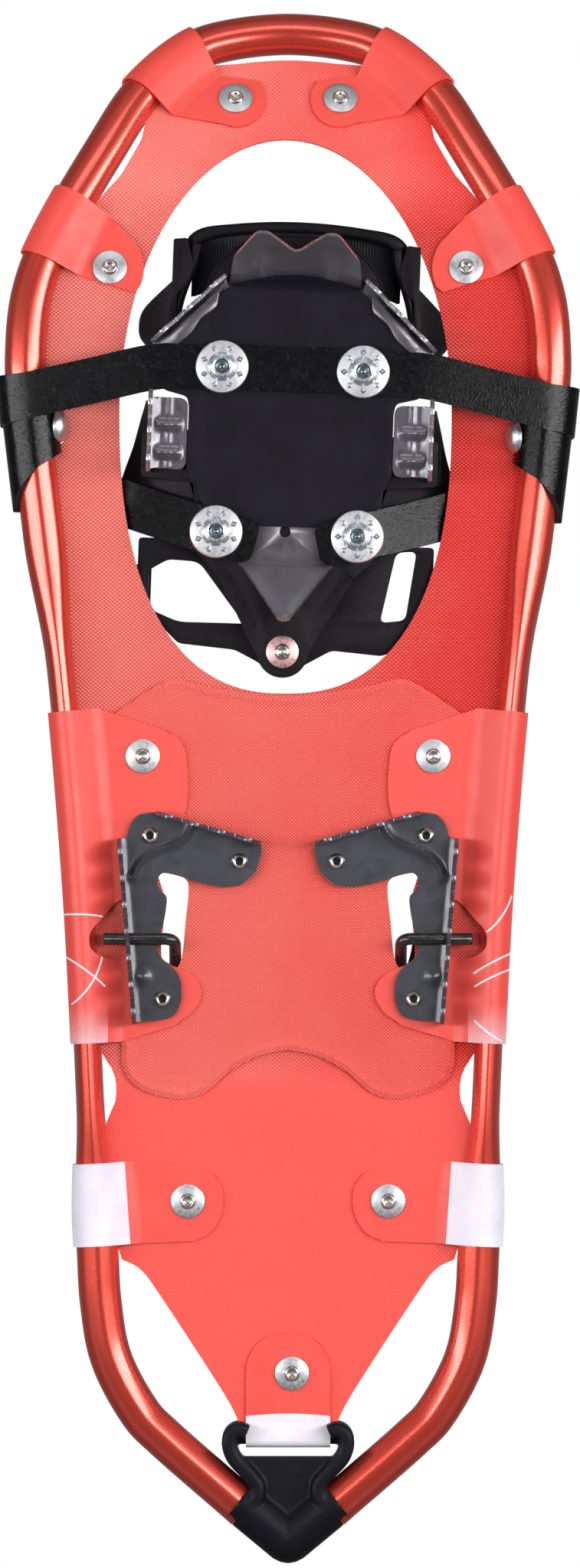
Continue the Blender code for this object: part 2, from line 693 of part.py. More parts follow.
# ---------------------------------------------------------------- suspension strap
def make_cuffs():
    """Strap wound round the tube on each side, with the rivet that closes it."""
    places = tube_place(1, 104.0, 145.0, 5)
    rings = []
    for inner in (True, False):
        grow = GAP + (0 if inner else 3.0)
        for centre, inward in places:
            half_width, half_height = tube_half(centre.y)
            ring = []
            for a, b in tube_section(half_width + grow, half_height + grow, 16):
                spot = centre + inward * a
                ring.append(Vector((spot.x, spot.y, TUBE_Z + b)))
            rings.append(ring)
    count, rows = 16, len(places)
    verts = [v for ring in rings for v in ring]
    faces = []
    for i in range(count):
        j = (i + 1) % count
        for r in range(rows - 1):
            for base in (0, rows):
                a, b = (base + r) * count, (base + r + 1) * count
                faces.append((a + i, a + j, b + j, b + i))
        for r in (0, rows - 1):
            a, b = r * count, (rows + r) * count
            faces.append((a + i, a + j, b + j, b + i))
    add_pair("strap_cuff", mesh_from(verts, faces), "strap")
    rivet = [(0, 0.0), (4.6, 0.0), (4.6, 1.0), (3.4, 2.0), (0, 2.2)]
    add_pair("cuff_rivet", lathe(rivet, (79.9, 125.6, TUBE_Z), (-1, 0, 0)), "alloy")


def ribbon(half_width, thickness):
    return [(half_width, thickness / 2), (-half_width, thickness / 2), (-half_width, -thickness / 2),
            (half_width, -thickness / 2)]


def make_straps():
    """Front span in three pieces and a strap from each cuff back to the binding's rear bolts."""
    middle = sum(STRAP) / 2
    thick = STRAP[1] - STRAP[0]
    front = plate([(34, 140.0), (34, 157.0), (-34, 157.0), (-34, 140.0)], *STRAP,
                  [circle((side * BOLTS[0][0], BOLTS[0][1]), BOLT_HOLE) for side in (1, -1)])
    add("strap_front", front, "strap", turned, BINDING_PIVOT)
    out = round_corners([(35.4, 148.5, middle), (50, 147.5, middle), (81.5, 139, middle + 0.9)], 6)
    back = round_corners([(12.5, 86.5, middle), (36, 92, middle), (46.5, 95, OVER_DECK),
                          (77.5, 106, OVER_DECK)], 4.0)
    for side, word in ((1, "right"), (-1, "left")):
        for name, path in (("strap_front", out), ("strap_rear", back)):
            mesh = sweep([(p[0] * side, p[1], p[2]) for p in path], ribbon(8.2, thick), up=(0, 0, 1))
            if name == "strap_rear":
                x, y = BOLTS[1]
                cutter = rod((side * x, y, 0), BOLT_HOLE, 5, 25)
                mesh = boolean(mesh, [cutter], "DIFFERENCE")
            add(f"{name}_{word}", mesh, "strap", turned, BINDING_PIVOT)


# ---------------------------------------------------------------- binding, underside
def bolt_places():
    return [(side * x, y) for x, y in BOLTS for side in (1, -1)]


def make_toe_crampon():
    half = [(24, 178), (25, 181.5), (51, 156.5), (51, 140), (51, 109), (38, 108), (30, 93), (16.3, 77.8)]
    outline = half + [(-x, y) for x, y in half[::-1]]
    holes = [circle(p, BOLT_HOLE) for p in bolt_places()]
    pieces = [plate(outline, *STEEL, holes)]
    middle = sum(STEEL) / 2
    front = [(-23.7, -1), (23.7, -1), (22.5, 14), (15, 27), (11, 27), (0, 17), (-11, 27), (-15, 27),
             (-22.5, 14)]
    pieces.append(slab(front, (0, 178.4, middle - 0.3), (1, 0, 0), (0, 18.4, -middle + 1.9), 1.6))
    rear = [(-16, -1), (16, -1), (2.0, 27.2), (-2.0, 27.2)]
    pieces.append(slab(rear, (0, 78.2, middle - 0.3), (1, 0, 0), (0, -19.5, -middle + 1.9), 1.6))
    for side in (1, -1):
        pieces.append(blade((side * 25.4, 180.4), (side * 50.4, 156.5), middle, 7.5, 3))
        pieces.append(blade((side * 50.2, 138.5), (side * 50.2, 110), middle, 8.0, 3))
    add("toe_crampon", union(pieces), "steel", turned, BINDING_PIVOT)


def make_anti_ball_plate():
    half = [(0, 176.5), (14, 176), (23, 172), (46, 153), (47.5, 148), (47.5, 141), (36.5, 137), (36.5, 112),
            (28.5, 93), (20, 84), (0, 84)]
    outline = half + [(-x, y) for x, y in half[-2:0:-1]]
    add("anti_ball_plate", plate(outline, *ANTI_BALL, [circle(p, BOLT_HOLE) for p in bolt_places()]),
        "plastic", turned, BINDING_PIVOT)


def make_bolts():
    """Each bolt with its traction washer."""
    z = STRAP[0] - GAP
    profile = [(0, z - 5.4), (3.6, z - 5.4), (4.35, z - 4.6), (4.35, z - 2.0), (8.6, z - 2.0), (9.5, z - 1.2),
               (9.5, z), (BOLT_SHANK, z), (BOLT_SHANK, BASE[1] - 2), (0, BASE[1] - 2)]
    words = ("front_right", "front_left", "rear_right", "rear_left")
    for word, (x, y) in zip(words, bolt_places()):
        add(f"bolt_{word}", lathe(profile, (x, y, 0)), "alloy", turned, BINDING_PIVOT)


# ---------------------------------------------------------------- binding, upper side
def make_binding_base():
    half = [(0, 196.5), (10, 196.2), (18, 193.8), (25.5, 188), (30, 181), (32.5, 174), (43, 172), (43, 158),
            (34, 156), (34, 126), (53, 125), (53, 108.5), (34, 107), (32, 82), (24, 74)]
    boss = circle(YOKE_AXIS, 9.2, 16)[8:]
    outline = half + boss[::-1] + [(-x, y) for x, y in half[:0:-1]]
    body = plate(outline, *BASE, [circle(p, BOLT_HOLE) for p in bolt_places()] + [circle(YOKE_AXIS, 2.9)])
    add("binding_base", body, "plastic", turned, BINDING_PIVOT)
    wing = [(-19, 0), (-18, 4), (-9, 17), (0, 33), (8, 42), (16, 41), (20, 22), (18.5, 0)]
    hole = [(-7, 8), (10, 8), (11, 30), (4, 30)]
    mesh = plate(wing, -2.0, 2.0, [hole])
    lean = Vector((9.6, 0, 40.0)).normalized()
    along = Vector((0.12, -1, 0)).normalized()
    frame = Matrix((along, lean, along.cross(lean))).transposed()
    for vert in mesh.vertices:
        vert.co = Vector((39.0, 174.5, BASE[1] + GAP + 0.7)) + frame @ vert.co
    add_pair("binding_wing", mesh, "plastic", turned, BINDING_PIVOT)
    z = BASE[1] + 11.0
    path = curve_through([(33.7, 186, z), (32.9, 191, z), (29.6, 196.5, z), (18, 200.4, z), (0, 201.6, z)], 3)
    path = path + [Vector((-p.x, p.y, p.z)) for p in path[-2::-1]]
    add("toe_band", sweep(path, ribbon(2.0, 15.0), up=(0, 0, 1)), "strap", turned, BINDING_PIVOT)


def arch(angle, lift=0.0):
    turn = math.radians(angle)
    return Vector(((ARCH_HALF + lift) * math.cos(turn), ARCH_Y,
                   ARCH_Z + (ARCH_HEIGHT + lift) * math.sin(turn)))


def arch_strip(low, high, lift, width, thickness):
    path = [arch(low + (high - low) * k / 12, lift) for k in range(13)]
    return sweep(path, [(b, a) for a, b in ribbon(width / 2, thickness)], up=(0, 1, 0))


def make_instep():
    """Pad over the instep, ladder strap, ratchet buckle and its lever."""
    add("instep_pad", arch_strip(0.6, 108, 0, 16, 3.6), "plastic", turned, BINDING_PIVOT)
    add("ladder_strap", arch_strip(58, 179.4, LADDER_LIFT, 15, 3.0), "strap", turned, BINDING_PIVOT)
    middle, across, out = buckle_directions()
    body = slab([(-15, -12), (15, -12), (15, 12), (-15, 12)], middle + out * 4.6, across, (0, 1, 0), 5.0)
    add("ratchet_buckle", body, "plastic", turned, BINDING_PIVOT)
    pivot = lever_pivot()
    lever = slab([(-1.2, -10), (30, -8), (34, 0), (30, 8), (-1.2, 10)], pivot, across, (0, 1, 0), 3.2)
    add("ratchet_lever", lever, "plastic", turned, turned(pivot))


def buckle_directions():
    """Where the buckle meets the ladder strap, the way along the strap, and the way off the boot."""
    middle = arch(BUCKLE_ANGLE, LADDER_LIFT)
    along = arch(BUCKLE_ANGLE + 1, LADDER_LIFT) - arch(BUCKLE_ANGLE - 1, LADDER_LIFT)
    along.normalize()
    off = along.cross(Vector((0, 1, 0))).normalized()
    return middle, along, off if off.z > 0 else -off


def lever_pivot():
    middle, along, off = buckle_directions()
    return middle + off * 9.2 - along * 12


def yoke_origin():
    return turned((YOKE_AXIS[0], YOKE_AXIS[1], YOKE[0]))


def make_heel_yoke():
    """Swivelling cradle under the arch of the boot, its side plates and the strap round the heel."""
    right = [(9, 60), (16, 77), (33, 87), (53, 87), (53, 55), (40, 49), (26, 45.5)]
    left = [(-24, 45.5), (-40, 49), (-53, 56), (-53, 87), (-33, 87), (-16, 77), (-9, 60)]
    outline = right + circle(YOKE_AXIS, 9.0, 16)[9:][::-1] + left
    window_right = [(17, 60), (33, 78.5), (46.5, 80.5), (47.5, 64)]
    window_left = [(-32, 60), (-41.5, 60), (-46, 83), (-39, 83)]
    body = plate(outline, *YOKE, [window_right, window_left, circle(YOKE_AXIS, 2.9)])
    walls = []
    for side in (1, -1):
        wall = [(57, YOKE[0] + 0.4), (86, YOKE[0] + 0.4), (80, 62), (76, 80), (58, 80), (57, 62)]
        walls.append(slab(wall, (side * 51.4, 0, 0), (0, 1, 0), (0, 0, 1), 2.6))
    add("heel_yoke", union([body] + walls), "plastic", turned, yoke_origin())
    z = BASE[0] - GAP
    profile = [(0, z - 2.2), (2.4, z - 2.0), (2.8, z - 1.2), (5.6, z - 1.1), (5.9, z), (2.5, z),
               (2.5, YOKE[1] + GAP), (4.6, YOKE[1] + GAP), (3.8, YOKE[1] + 1.5), (0, YOKE[1] + 1.8)]
    add("yoke_rivet", lathe(profile, (*YOKE_AXIS, 0)), "alloy", turned, BINDING_PIVOT)
    middle = sum(HEEL_STRAP) / 2
    half = [(54.4, 78, middle), (54.2, 50, middle), (51, 0, middle), (47.5, -45, middle)]
    turn_points = [(47.5 * math.cos(math.radians(a)), -50 - 47.5 * math.sin(math.radians(a)), middle)
                   for a in range(15, 91, 15)]
    path = curve_through(half + turn_points, 2)
    path = path + [Vector((-p.x, p.y, p.z)) for p in path[-2::-1]]
    add("heel_strap", sweep(path, ribbon(1.3, HEEL_STRAP[1] - HEEL_STRAP[0]), up=(0, 0, 1)),
        "strap", turned, yoke_origin())
    face = [(-12, -11), (12, -11), (12, 11), (-12, 11)]
    buckle = slab(face, (57.9, 20, middle), (-0.062, 1, 0), (0, 0, 1), 4.0)
    add("heel_buckle", buckle, "plastic", turned, yoke_origin())


def clear_scene():
    for item in list(bpy.data.objects):
        bpy.data.objects.remove(item)


clear_scene()
make_frame_tube()
make_tail_cap()
make_deck()
make_doubler()
make_tabs()
make_deck_rivets()
make_heel()
make_bail()
make_cuffs()
make_straps()
make_toe_crampon()
make_anti_ball_plate()
make_bolts()
make_binding_base()
make_instep()
make_heel_yoke()
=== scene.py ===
"""Looks of the snowshoe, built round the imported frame.

Axes are the frame's: +Y towards the toe, +Z up, sole down. Shapes are drawn in millimetres and turned
into metres by piece(). Frame pieces are drawn flat and rolled up at the toe by rocker(); binding pieces
are drawn square and turned by turned(), as in the CAD.
"""
import math

import bmesh
import bpy
from mathutils import Matrix, Vector, kdtree
from mathutils.geometry import delaunay_2d_cdt


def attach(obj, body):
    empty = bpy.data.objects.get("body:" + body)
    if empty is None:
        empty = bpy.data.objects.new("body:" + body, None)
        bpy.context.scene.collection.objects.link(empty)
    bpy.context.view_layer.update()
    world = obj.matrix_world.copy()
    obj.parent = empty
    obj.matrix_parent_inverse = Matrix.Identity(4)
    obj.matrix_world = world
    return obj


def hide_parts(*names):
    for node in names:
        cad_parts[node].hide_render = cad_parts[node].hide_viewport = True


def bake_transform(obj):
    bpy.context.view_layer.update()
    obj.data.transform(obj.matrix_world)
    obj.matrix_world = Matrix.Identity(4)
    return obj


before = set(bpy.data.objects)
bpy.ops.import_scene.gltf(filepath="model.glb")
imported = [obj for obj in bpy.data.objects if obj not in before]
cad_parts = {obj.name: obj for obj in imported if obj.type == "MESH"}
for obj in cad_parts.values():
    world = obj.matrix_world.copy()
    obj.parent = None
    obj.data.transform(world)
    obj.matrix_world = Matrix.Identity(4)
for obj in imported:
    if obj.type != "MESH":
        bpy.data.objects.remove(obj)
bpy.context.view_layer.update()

MM = 0.001

# ---- heights, as in the CAD
TUBE_Z = 26.0
DECK = (26.6, 27.5)
UNDER_DECK = (25.4, 26.3)
UNDER_DOUBLER = (24.2, 25.1)
HEEL_PLATE = (22.3, 23.9)
HEEL_PAD = (27.8, 30.3)
BASE = (20.7, 30.0)
STEEL = (18.8, 20.4)
ANTI_BALL = (16.2, 18.5)
STRAP = (13.4, 15.9)
OVER_DECK = 30.2
YOKE = (30.3, 32.8)
HEEL_STRAP = (61.0, 78.0)
GAP = 0.3

# ---- frame
ROCKER_START = 150.0
ROCKER_RADIUS = 207.0
FRAME_HALF = [(0, 272), (22, 269.6), (36.5, 264), (53, 249), (66, 228.5), (84.4, 195.7), (91.8, 175.6),
              (93.9, 155), (93, 137), (87.5, 90), (80.7, 35), (74.4, -42), (70.6, -119), (68.3, -165),
              (67, -186), (63.3, -205.5), (53.6, -224), (43.8, -234.4), (18.6, -256.4)]
INTO_CAP = (15.2, -259.4)
CAP_BAR = (-234.9, TUBE_Z + 0.2)
TUBE_ROUND = 7.5
TUBE_FLAT = (5.0, 9.3)
SQUEEZE = (-158, -114, 43, 89)

# ---- deck
OPENING_CENTRE = (0.9, 133.2)
OPENING_HALF_WIDTH = 59.5
OPENING_FRONT = 99.6
OPENING_REAR = 100.4
OPENING_REAR_POWER = 2.4
DECK_INSET = [(272, 4.0), (270, 3.4), (265, -0.4), (243, -0.4), (237, 2.0), (224, 2.4), (212, -0.4),
              (137.2, -0.4),
              (136, 3.6), (121, 3.6), (119.5, -0.4), (-97, -0.4), (-100, 2.6), (-106, 4.6), (-113, 4.4),
              (-122, -0.4), (-166, -0.4)]
DECK_TAIL = [(59.5, -170), (53, -173.5), (46, -182.6), (23, -218), (17.3, -229.5), (16.4, -233.0)]
HEEL_SLOT = [(46.5, -31.5), (42, -30.6), (37.2, -33.2), (35.6, -37), (36.8, -50), (38.0, -61.5),
             (40.5, -66), (44.5, -65), (45.5, -58), (44.6, -50), (44.4, -40)]
WIRE_WINDOW = [(56, -41), (60.5, -41), (66, -47), (71, -52.5), (71, -58.5), (66, -62), (56, -62)]
DOUBLER_TOP = [(0, 32.0), (14, 33.2), (28, 35.4), (41, 38.0), (49, 34.6)]
DOUBLER_WAVE = [(59.6, -92.6), (58.9, -102), (53, -108.8), (40, -112.4), (29.8, -110.2), (20, -102),
                (10.4, -97), (0, -94.8)]

# ---- fasteners
DECK_RIVETS = {"toe": (18.9, 247.3), "front": (63.8, 185.3), "mid": (52.0, 10.3),
               "rear": (35.9, -149.1)}
TAIL_RIVET = (-1.4, -210.8)
HEEL_RIVETS = {"front": (49.4, -18.0), "inner": (17.4, -27.2), "rear": (44.9, -76.5)}
BOLTS = {"front": (25.2, 148.5), "rear": (25.2, 89.6)}
RIVET_HEAD = 2.9
DECK_WASHER = 6.15
YOKE_WASHER = 5.9

# ---- joints
BINDING_CENTRE = (-0.7, 122.0)
BINDING_TURN = math.radians(2.1)
BAIL_AXIS = Vector((0, -55.0, 19.8))
YOKE_AXIS = (0, 47.6)
WIRE = 2.15

# ---- instep strap arch over the boot
ARCH_Y = 116.8
ARCH_Z = 30.3
ARCH_HALF = 50.0
ARCH_HEIGHT = 72.0
LADDER_LIFT = 3.6
BUCKLE_ANGLE = 76


# ---------------------------------------------------------------- shape of the frame
def flat_y(y):
    """Length along the rolled-up frame for a place seen from above."""
    if y <= ROCKER_START:
        return y
    return ROCKER_START + ROCKER_RADIUS * math.asin((y - ROCKER_START) / ROCKER_RADIUS)


def rocker(point):
    """Roll a flat-drawn point up at the toe."""
    x, y, z = point
    if y <= ROCKER_START:
        return Vector(point)
    angle = (y - ROCKER_START) / ROCKER_RADIUS
    arm = ROCKER_RADIUS - (z - TUBE_Z)
    return Vector((x, ROCKER_START + arm * math.sin(angle),
                   TUBE_Z + ROCKER_RADIUS - arm * math.cos(angle)))


def turned(point):
    """Turn a binding point about the binding's centre."""
    cx, cy = BINDING_CENTRE
    spin = Matrix.Rotation(BINDING_TURN, 3, "Z")
    return spin @ (Vector(point) - Vector((0, cy, 0))) + Vector((cx, cy, 0))


def curve_through(points, steps, closed=False):
    """Catmull-Rom curve through the points, with the given number of steps between each pair."""
    pts = [Vector(p) for p in points]
    if closed:
        pts = [pts[-1]] + pts + pts[:2]
    else:
        pts = [2 * pts[0] - pts[1]] + pts + [2 * pts[-1] - pts[-2]]
    line = []
    for i in range(1, len(pts) - 2):
        a, b, c, d = pts[i - 1:i + 3]
        for k in range(steps):
            t = k / steps
            line.append(0.5 * (2 * b + (c - a) * t + (2 * a - 5 * b + 4 * c - d) * t * t
                               + (3 * b - a - 3 * c + d) * t ** 3))
    return line if closed else line + [pts[-2]]


def frame_line(steps):
    """The whole centre line, flat, from the +X tail end round the toe to the -X tail end."""
    half = [(x, flat_y(y)) for x, y in FRAME_HALF]
    other_side = [(-x, y) for x, y in half[1:]]
    return curve_through([Vector(p) for p in half[::-1] + other_side], steps)


def read_stops(value, stops):
    """Piecewise linear reading of (place, amount) stops."""
    stops = sorted(stops)
    if value <= stops[0][0]:
        return stops[0][1]
    for (a, va), (b, vb) in zip(stops, stops[1:]):
        if value <= b:
            return va + (vb - va) * (value - a) / (b - a)
    return stops[-1][1]


def smooth_step(value, start, end):
    """0 before start, 1 after end, and a smooth rise between."""
    t = min(max((value - start) / (end - start), 0.0), 1.0)
    return t * t * (3 - 2 * t)


def window(value, a, b, c, d):
    """0 before a, 1 from b to c, 0 after d, with smooth sides."""
    return smooth_step(value, a, b) * (1 - smooth_step(value, c, d))


def tube_half(y):
    """Half width and half height of the tube at a flat place along Y."""
    out = []
    for flat in TUBE_FLAT:
        a, b, c, d = SQUEEZE
        share = smooth_step(y, a, b) * (1 - smooth_step(y, c, d))
        out.append(TUBE_ROUND + (flat - TUBE_ROUND) * share)
    return out


def tube_half_linear(y):
    """The CAD's own straight-sided change of section, which the deck's edge follows."""
    out = []
    for flat in TUBE_FLAT:
        out.append(read_stops(y, list(zip(SQUEEZE, (TUBE_ROUND, flat, flat, TUBE_ROUND)))))
    return out


def relief(x, y):
    """How far the deck and everything fastened to it dips (negative is down), at a flat place."""
    beside_opening = window(y, 40, 90, 195, 240) * math.exp(-((abs(x) - 60) / 15) ** 2)
    tail = window(y, -225, -180, -140, -108) * math.exp(-(x / 30) ** 2)
    heel = math.exp(-(x / 24) ** 2 - ((y - 8) / 13) ** 2)
    return -1.1 * beside_opening + 0.9 * tail - 0.5 * heel


# ---------------------------------------------------------------- mesh helpers
def mesh_from(verts, faces):
    bm = bmesh.new()
    made = [bm.verts.new(v) for v in verts]
    for face in faces:
        bm.faces.new([made[i] for i in face])
    bmesh.ops.recalc_face_normals(bm, faces=bm.faces)
    mesh = bpy.data.meshes.new("piece")
    bm.to_mesh(mesh)
    bm.free()
    return mesh


def joined(meshes):
    """All the meshes as one, without welding them."""
    bm = bmesh.new()
    for mesh in meshes:
        bm.from_mesh(mesh)
    out = bpy.data.meshes.new("piece")
    bm.to_mesh(out)
    bm.free()
    return out


def mirrored(mesh):
    """A copy on the other side of the X = 0 plane."""
    twin = mesh.copy()
    twin.transform(Matrix.Scale(-1, 4, (1, 0, 0)))
    twin.flip_normals()
    return twin


def inside(point, outline):
    x, y = point
    hit = False
    for (ax, ay), (bx, by) in zip(outline, outline[1:] + outline[:1]):
        if (ay > y) != (by > y) and x < (bx - ax) * (y - ay) / (by - ay) + ax:
            hit = not hit
    return hit


def rounded(outline, radius, steps=5):
    """The outline with its corners rounded. radius is one number, or one for each corner."""
    pts = [Vector(p) for p in outline]
    radii = radius if isinstance(radius, (list, tuple)) else [radius] * len(pts)
    out = []
    for i, corner in enumerate(pts):
        before, after = pts[i - 1], pts[(i + 1) % len(pts)]
        reach = min(radii[i], (before - corner).length * 0.45, (after - corner).length * 0.45)
        into = corner + (before - corner).normalized() * reach
        out_of = corner + (after - corner).normalized() * reach
        for k in range(steps + 1):
            t = k / steps
            out.append(into * (1 - t) ** 2 + corner * 2 * t * (1 - t) + out_of * t * t)
    return [tuple(p) for p in out]


def circle(centre, radius, sides=24):
    return [(centre[0] + radius * math.cos(2 * math.pi * i / sides),
             centre[1] + radius * math.sin(2 * math.pi * i / sides)) for i in range(sides)]


def plate(outline, low, high, holes=(), grid=0.0, extra=(), lift=None):
    """Flat plate with holes. grid adds points inside it, and lift(x, y) moves each point up or down."""
    loops = [[tuple(p) for p in outline]] + [[tuple(p) for p in hole] for hole in holes]
    points = [Vector(p) for loop in loops for p in loop]
    edges = []
    start = 0
    for loop in loops:
        edges += [(start + i, start + (i + 1) % len(loop)) for i in range(len(loop))]
        start += len(loop)
    near = kdtree.KDTree(len(points) + len(extra))
    for i, p in enumerate(points + [Vector(p) for p in extra]):
        near.insert((p.x, p.y, 0), i)
    near.balance()
    points += [Vector(p) for p in extra]
    if grid:
        xs = [p[0] for p in loops[0]]
        ys = [p[1] for p in loops[0]]
        row = 0
        y = min(ys) + grid / 2
        while y < max(ys):
            x = min(xs) + grid / 2 * (1 + row % 2)
            while x < max(xs):
                if near.find((x, y, 0))[2] > grid * 0.5 and inside((x, y), loops[0]) \
                        and not any(inside((x, y), hole) for hole in loops[1:]):
                    points.append(Vector((x, y)))
                x += grid
            y += grid * 0.87
            row += 1
    flat, _, tris, _, _, _ = delaunay_2d_cdt(points, edges, [], 0, 1e-5)
    kept = []
    for tri in tris:
        mid = sum((flat[i] for i in tri), Vector((0, 0))) / 3
        if inside(mid, loops[0]) and not any(inside(mid, hole) for hole in loops[1:]):
            kept.append(tuple(tri))
    count = len(flat)
    rise = [lift(p.x, p.y) if lift else 0.0 for p in flat]
    verts = [(p.x, p.y, level + r) for level in (low, high) for p, r in zip(flat, rise)]
    uses = {}
    for tri in kept:
        for a, b in zip(tri, tri[1:] + tri[:1]):
            uses.setdefault(frozenset((a, b)), []).append((a, b))
    faces = [tri[::-1] for tri in kept] + [tuple(i + count for i in tri) for tri in kept]
    for way in uses.values():
        if len(way) == 1:
            a, b = way[0]
            faces.append((a, b, b + count, a + count))
    used = sorted({i for face in faces for i in face})
    renumber = {old: new for new, old in enumerate(used)}
    return mesh_from([verts[i] for i in used], [tuple(renumber[i] for i in face) for face in faces])


def placed(mesh, origin, along, across):
    """Stand a flat-drawn mesh up: its X runs along, its Y across, its Z away from both."""
    u = Vector(along).normalized()
    w = u.cross(Vector(across)).normalized()
    frame_axes = Matrix((u, w.cross(u), w)).transposed()
    for vert in mesh.vertices:
        vert.co = Vector(origin) + frame_axes @ vert.co
    return mesh


def sweep(path, section, up=None):
    """Run a closed section along a path: a list of (side, up), or a function of the step."""
    path = [Vector(p) for p in path]
    rings = []
    lift = Vector(up) if up is not None else None
    for i, point in enumerate(path):
        run = (path[min(i + 1, len(path) - 1)] - path[max(i - 1, 0)]).normalized()
        if up is None:
            if lift is None:
                lift = Vector((0, 0, 1)) if abs(run.z) < 0.8 else Vector((0, 1, 0))
            lift = (lift - run * lift.dot(run)).normalized()
        side = run.cross(lift).normalized()
        top = side.cross(run)
        shape = section(i) if callable(section) else section
        rings.append([point + side * a + top * b for a, b in shape])
    return loft(rings)


def loft(rings):
    """Skin over closed rings of equal length, with both ends capped."""
    count = len(rings[0])
    verts = [v for ring in rings for v in ring]
    faces = [tuple(range(count)), tuple(range(len(verts) - count, len(verts)))]
    for r in range(len(rings) - 1):
        for i in range(count):
            j = (i + 1) % count
            faces.append((r * count + i, r * count + j, (r + 1) * count + j, (r + 1) * count + i))
    return mesh_from(verts, faces)


def shell(grid, thickness):
    """Thicken a grid of points (rows of equal length) into a closed skin."""
    rows, cols = len(grid), len(grid[0])
    top, bottom = [], []
    for i in range(rows):
        for j in range(cols):
            du = grid[min(i + 1, rows - 1)][j] - grid[max(i - 1, 0)][j]
            dv = grid[i][min(j + 1, cols - 1)] - grid[i][max(j - 1, 0)]
            normal = du.cross(dv).normalized()
            top.append(grid[i][j] + normal * thickness / 2)
            bottom.append(grid[i][j] - normal * thickness / 2)
    n = rows * cols
    faces = []
    for i in range(rows - 1):
        for j in range(cols - 1):
            a, b, c, d = i * cols + j, i * cols + j + 1, (i + 1) * cols + j + 1, (i + 1) * cols + j
            faces += [(a, b, c, d), (d + n, c + n, b + n, a + n)]
    rim = [(i, 0) for i in range(rows)] + [(rows - 1, j) for j in range(1, cols)]
    rim += [(i, cols - 1) for i in range(rows - 2, -1, -1)] + [(0, j) for j in range(cols - 2, 0, -1)]
    for (i, j), (k, m) in zip(rim, rim[1:] + rim[:1]):
        a, b = i * cols + j, k * cols + m
        faces.append((a, b, b + n, a + n))
    return mesh_from(top + bottom, faces)


def lathe(profile, axis=(0, 0, 1), sides=48):
    """Turn a profile of (radius, height), whose ends lie on the axis, about that axis."""
    spin = Vector((0, 0, 1)).rotation_difference(Vector(axis)).to_matrix()
    verts = [Vector((0, 0, profile[0][1]))]
    for radius, height in profile[1:-1]:
        for i in range(sides):
            turn = 2 * math.pi * i / sides
            verts.append(Vector((radius * math.cos(turn), radius * math.sin(turn), height)))
    verts.append(Vector((0, 0, profile[-1][1])))
    last = len(verts) - 1
    faces = []
    for i in range(sides):
        j = (i + 1) % sides
        faces.append((0, 1 + j, 1 + i))
        for r in range(len(profile) - 3):
            a, b = 1 + r * sides, 1 + (r + 1) * sides
            faces.append((a + i, a + j, b + j, b + i))
        end = 1 + (len(profile) - 3) * sides
        faces.append((end + i, end + j, last))
    return mesh_from([spin @ v for v in verts], faces)


def tube_section(half_width, half_height, sides=10):
    return [(half_width * math.cos(2 * math.pi * i / sides),
             half_height * math.sin(2 * math.pi * i / sides))
            for i in range(sides)]


def ribbon_section(half_width, thickness, edge=0.6):
    """Flat strap section with softened edges."""
    h = thickness / 2
    e = min(edge, h * 0.9)
    quarter = [(half_width - e + e * math.cos(a), h - e + e * math.sin(a))
               for a in (0, math.pi / 6, math.pi / 3, math.pi / 2)]
    top = quarter + [(-x, z) for x, z in quarter[::-1]]
    return top + [(x, -z) for x, z in top[::-1]]


def boolean(mesh, others, operation):
    """Union or difference with every other mesh, by the exact solver."""
    for other in others:
        host = bpy.data.objects.new("host", mesh)
        tool = bpy.data.objects.new("tool", other)
        for item in (host, tool):
            bpy.context.collection.objects.link(item)
        step = host.modifiers.new("cut", "BOOLEAN")
        step.operation = operation
        step.solver = "EXACT"
        step.object = tool
        mesh = settled(host)
        for item in (host, tool):
            bpy.data.objects.remove(item)
    return mesh


def settled(item):
    """The object's mesh with its modifiers applied."""
    bpy.context.view_layer.update()
    ready = item.evaluated_get(bpy.context.evaluated_depsgraph_get())
    return bpy.data.meshes.new_from_object(ready)


def modified(mesh, *steps):
    """Run modifiers, each (type, settings), over a mesh in millimetres."""
    item = bpy.data.objects.new("work", mesh)
    bpy.context.collection.objects.link(item)
    for number, (kind, settings) in enumerate(steps):
        step = item.modifiers.new(f"step{number}", kind)
        for key, value in settings.items():
            setattr(step, key, value)
    out = settled(item)
    bpy.data.objects.remove(item)
    return out


def moulded(meshes, voxel=0.5, rounds=6, cuts=()):
    """Melt meshes together into one moulding with softened edges, and cut others out of it first."""
    body = boolean(meshes[0], meshes[1:], "UNION")
    body = boolean(body, cuts, "DIFFERENCE")
    return modified(body, ("REMESH", {"mode": "VOXEL", "voxel_size": voxel}),
                    ("SMOOTH", {"factor": 0.5, "iterations": rounds}))


def bevelled(mesh, width, segments=2, angle=35):
    """Round off the sharp edges. Flat triangles are joined first, so only real edges are cut."""
    bm = bmesh.new()
    bm.from_mesh(mesh)
    bmesh.ops.dissolve_limit(bm, angle_limit=math.radians(0.6), verts=bm.verts, edges=bm.edges)
    bm.to_mesh(mesh)
    bm.free()
    return modified(mesh, ("BEVEL", {"width": width, "segments": segments, "limit_method": "ANGLE",
                                     "angle_limit": math.radians(angle), "use_clamp_overlap": True,
                                     "harden_normals": False}))


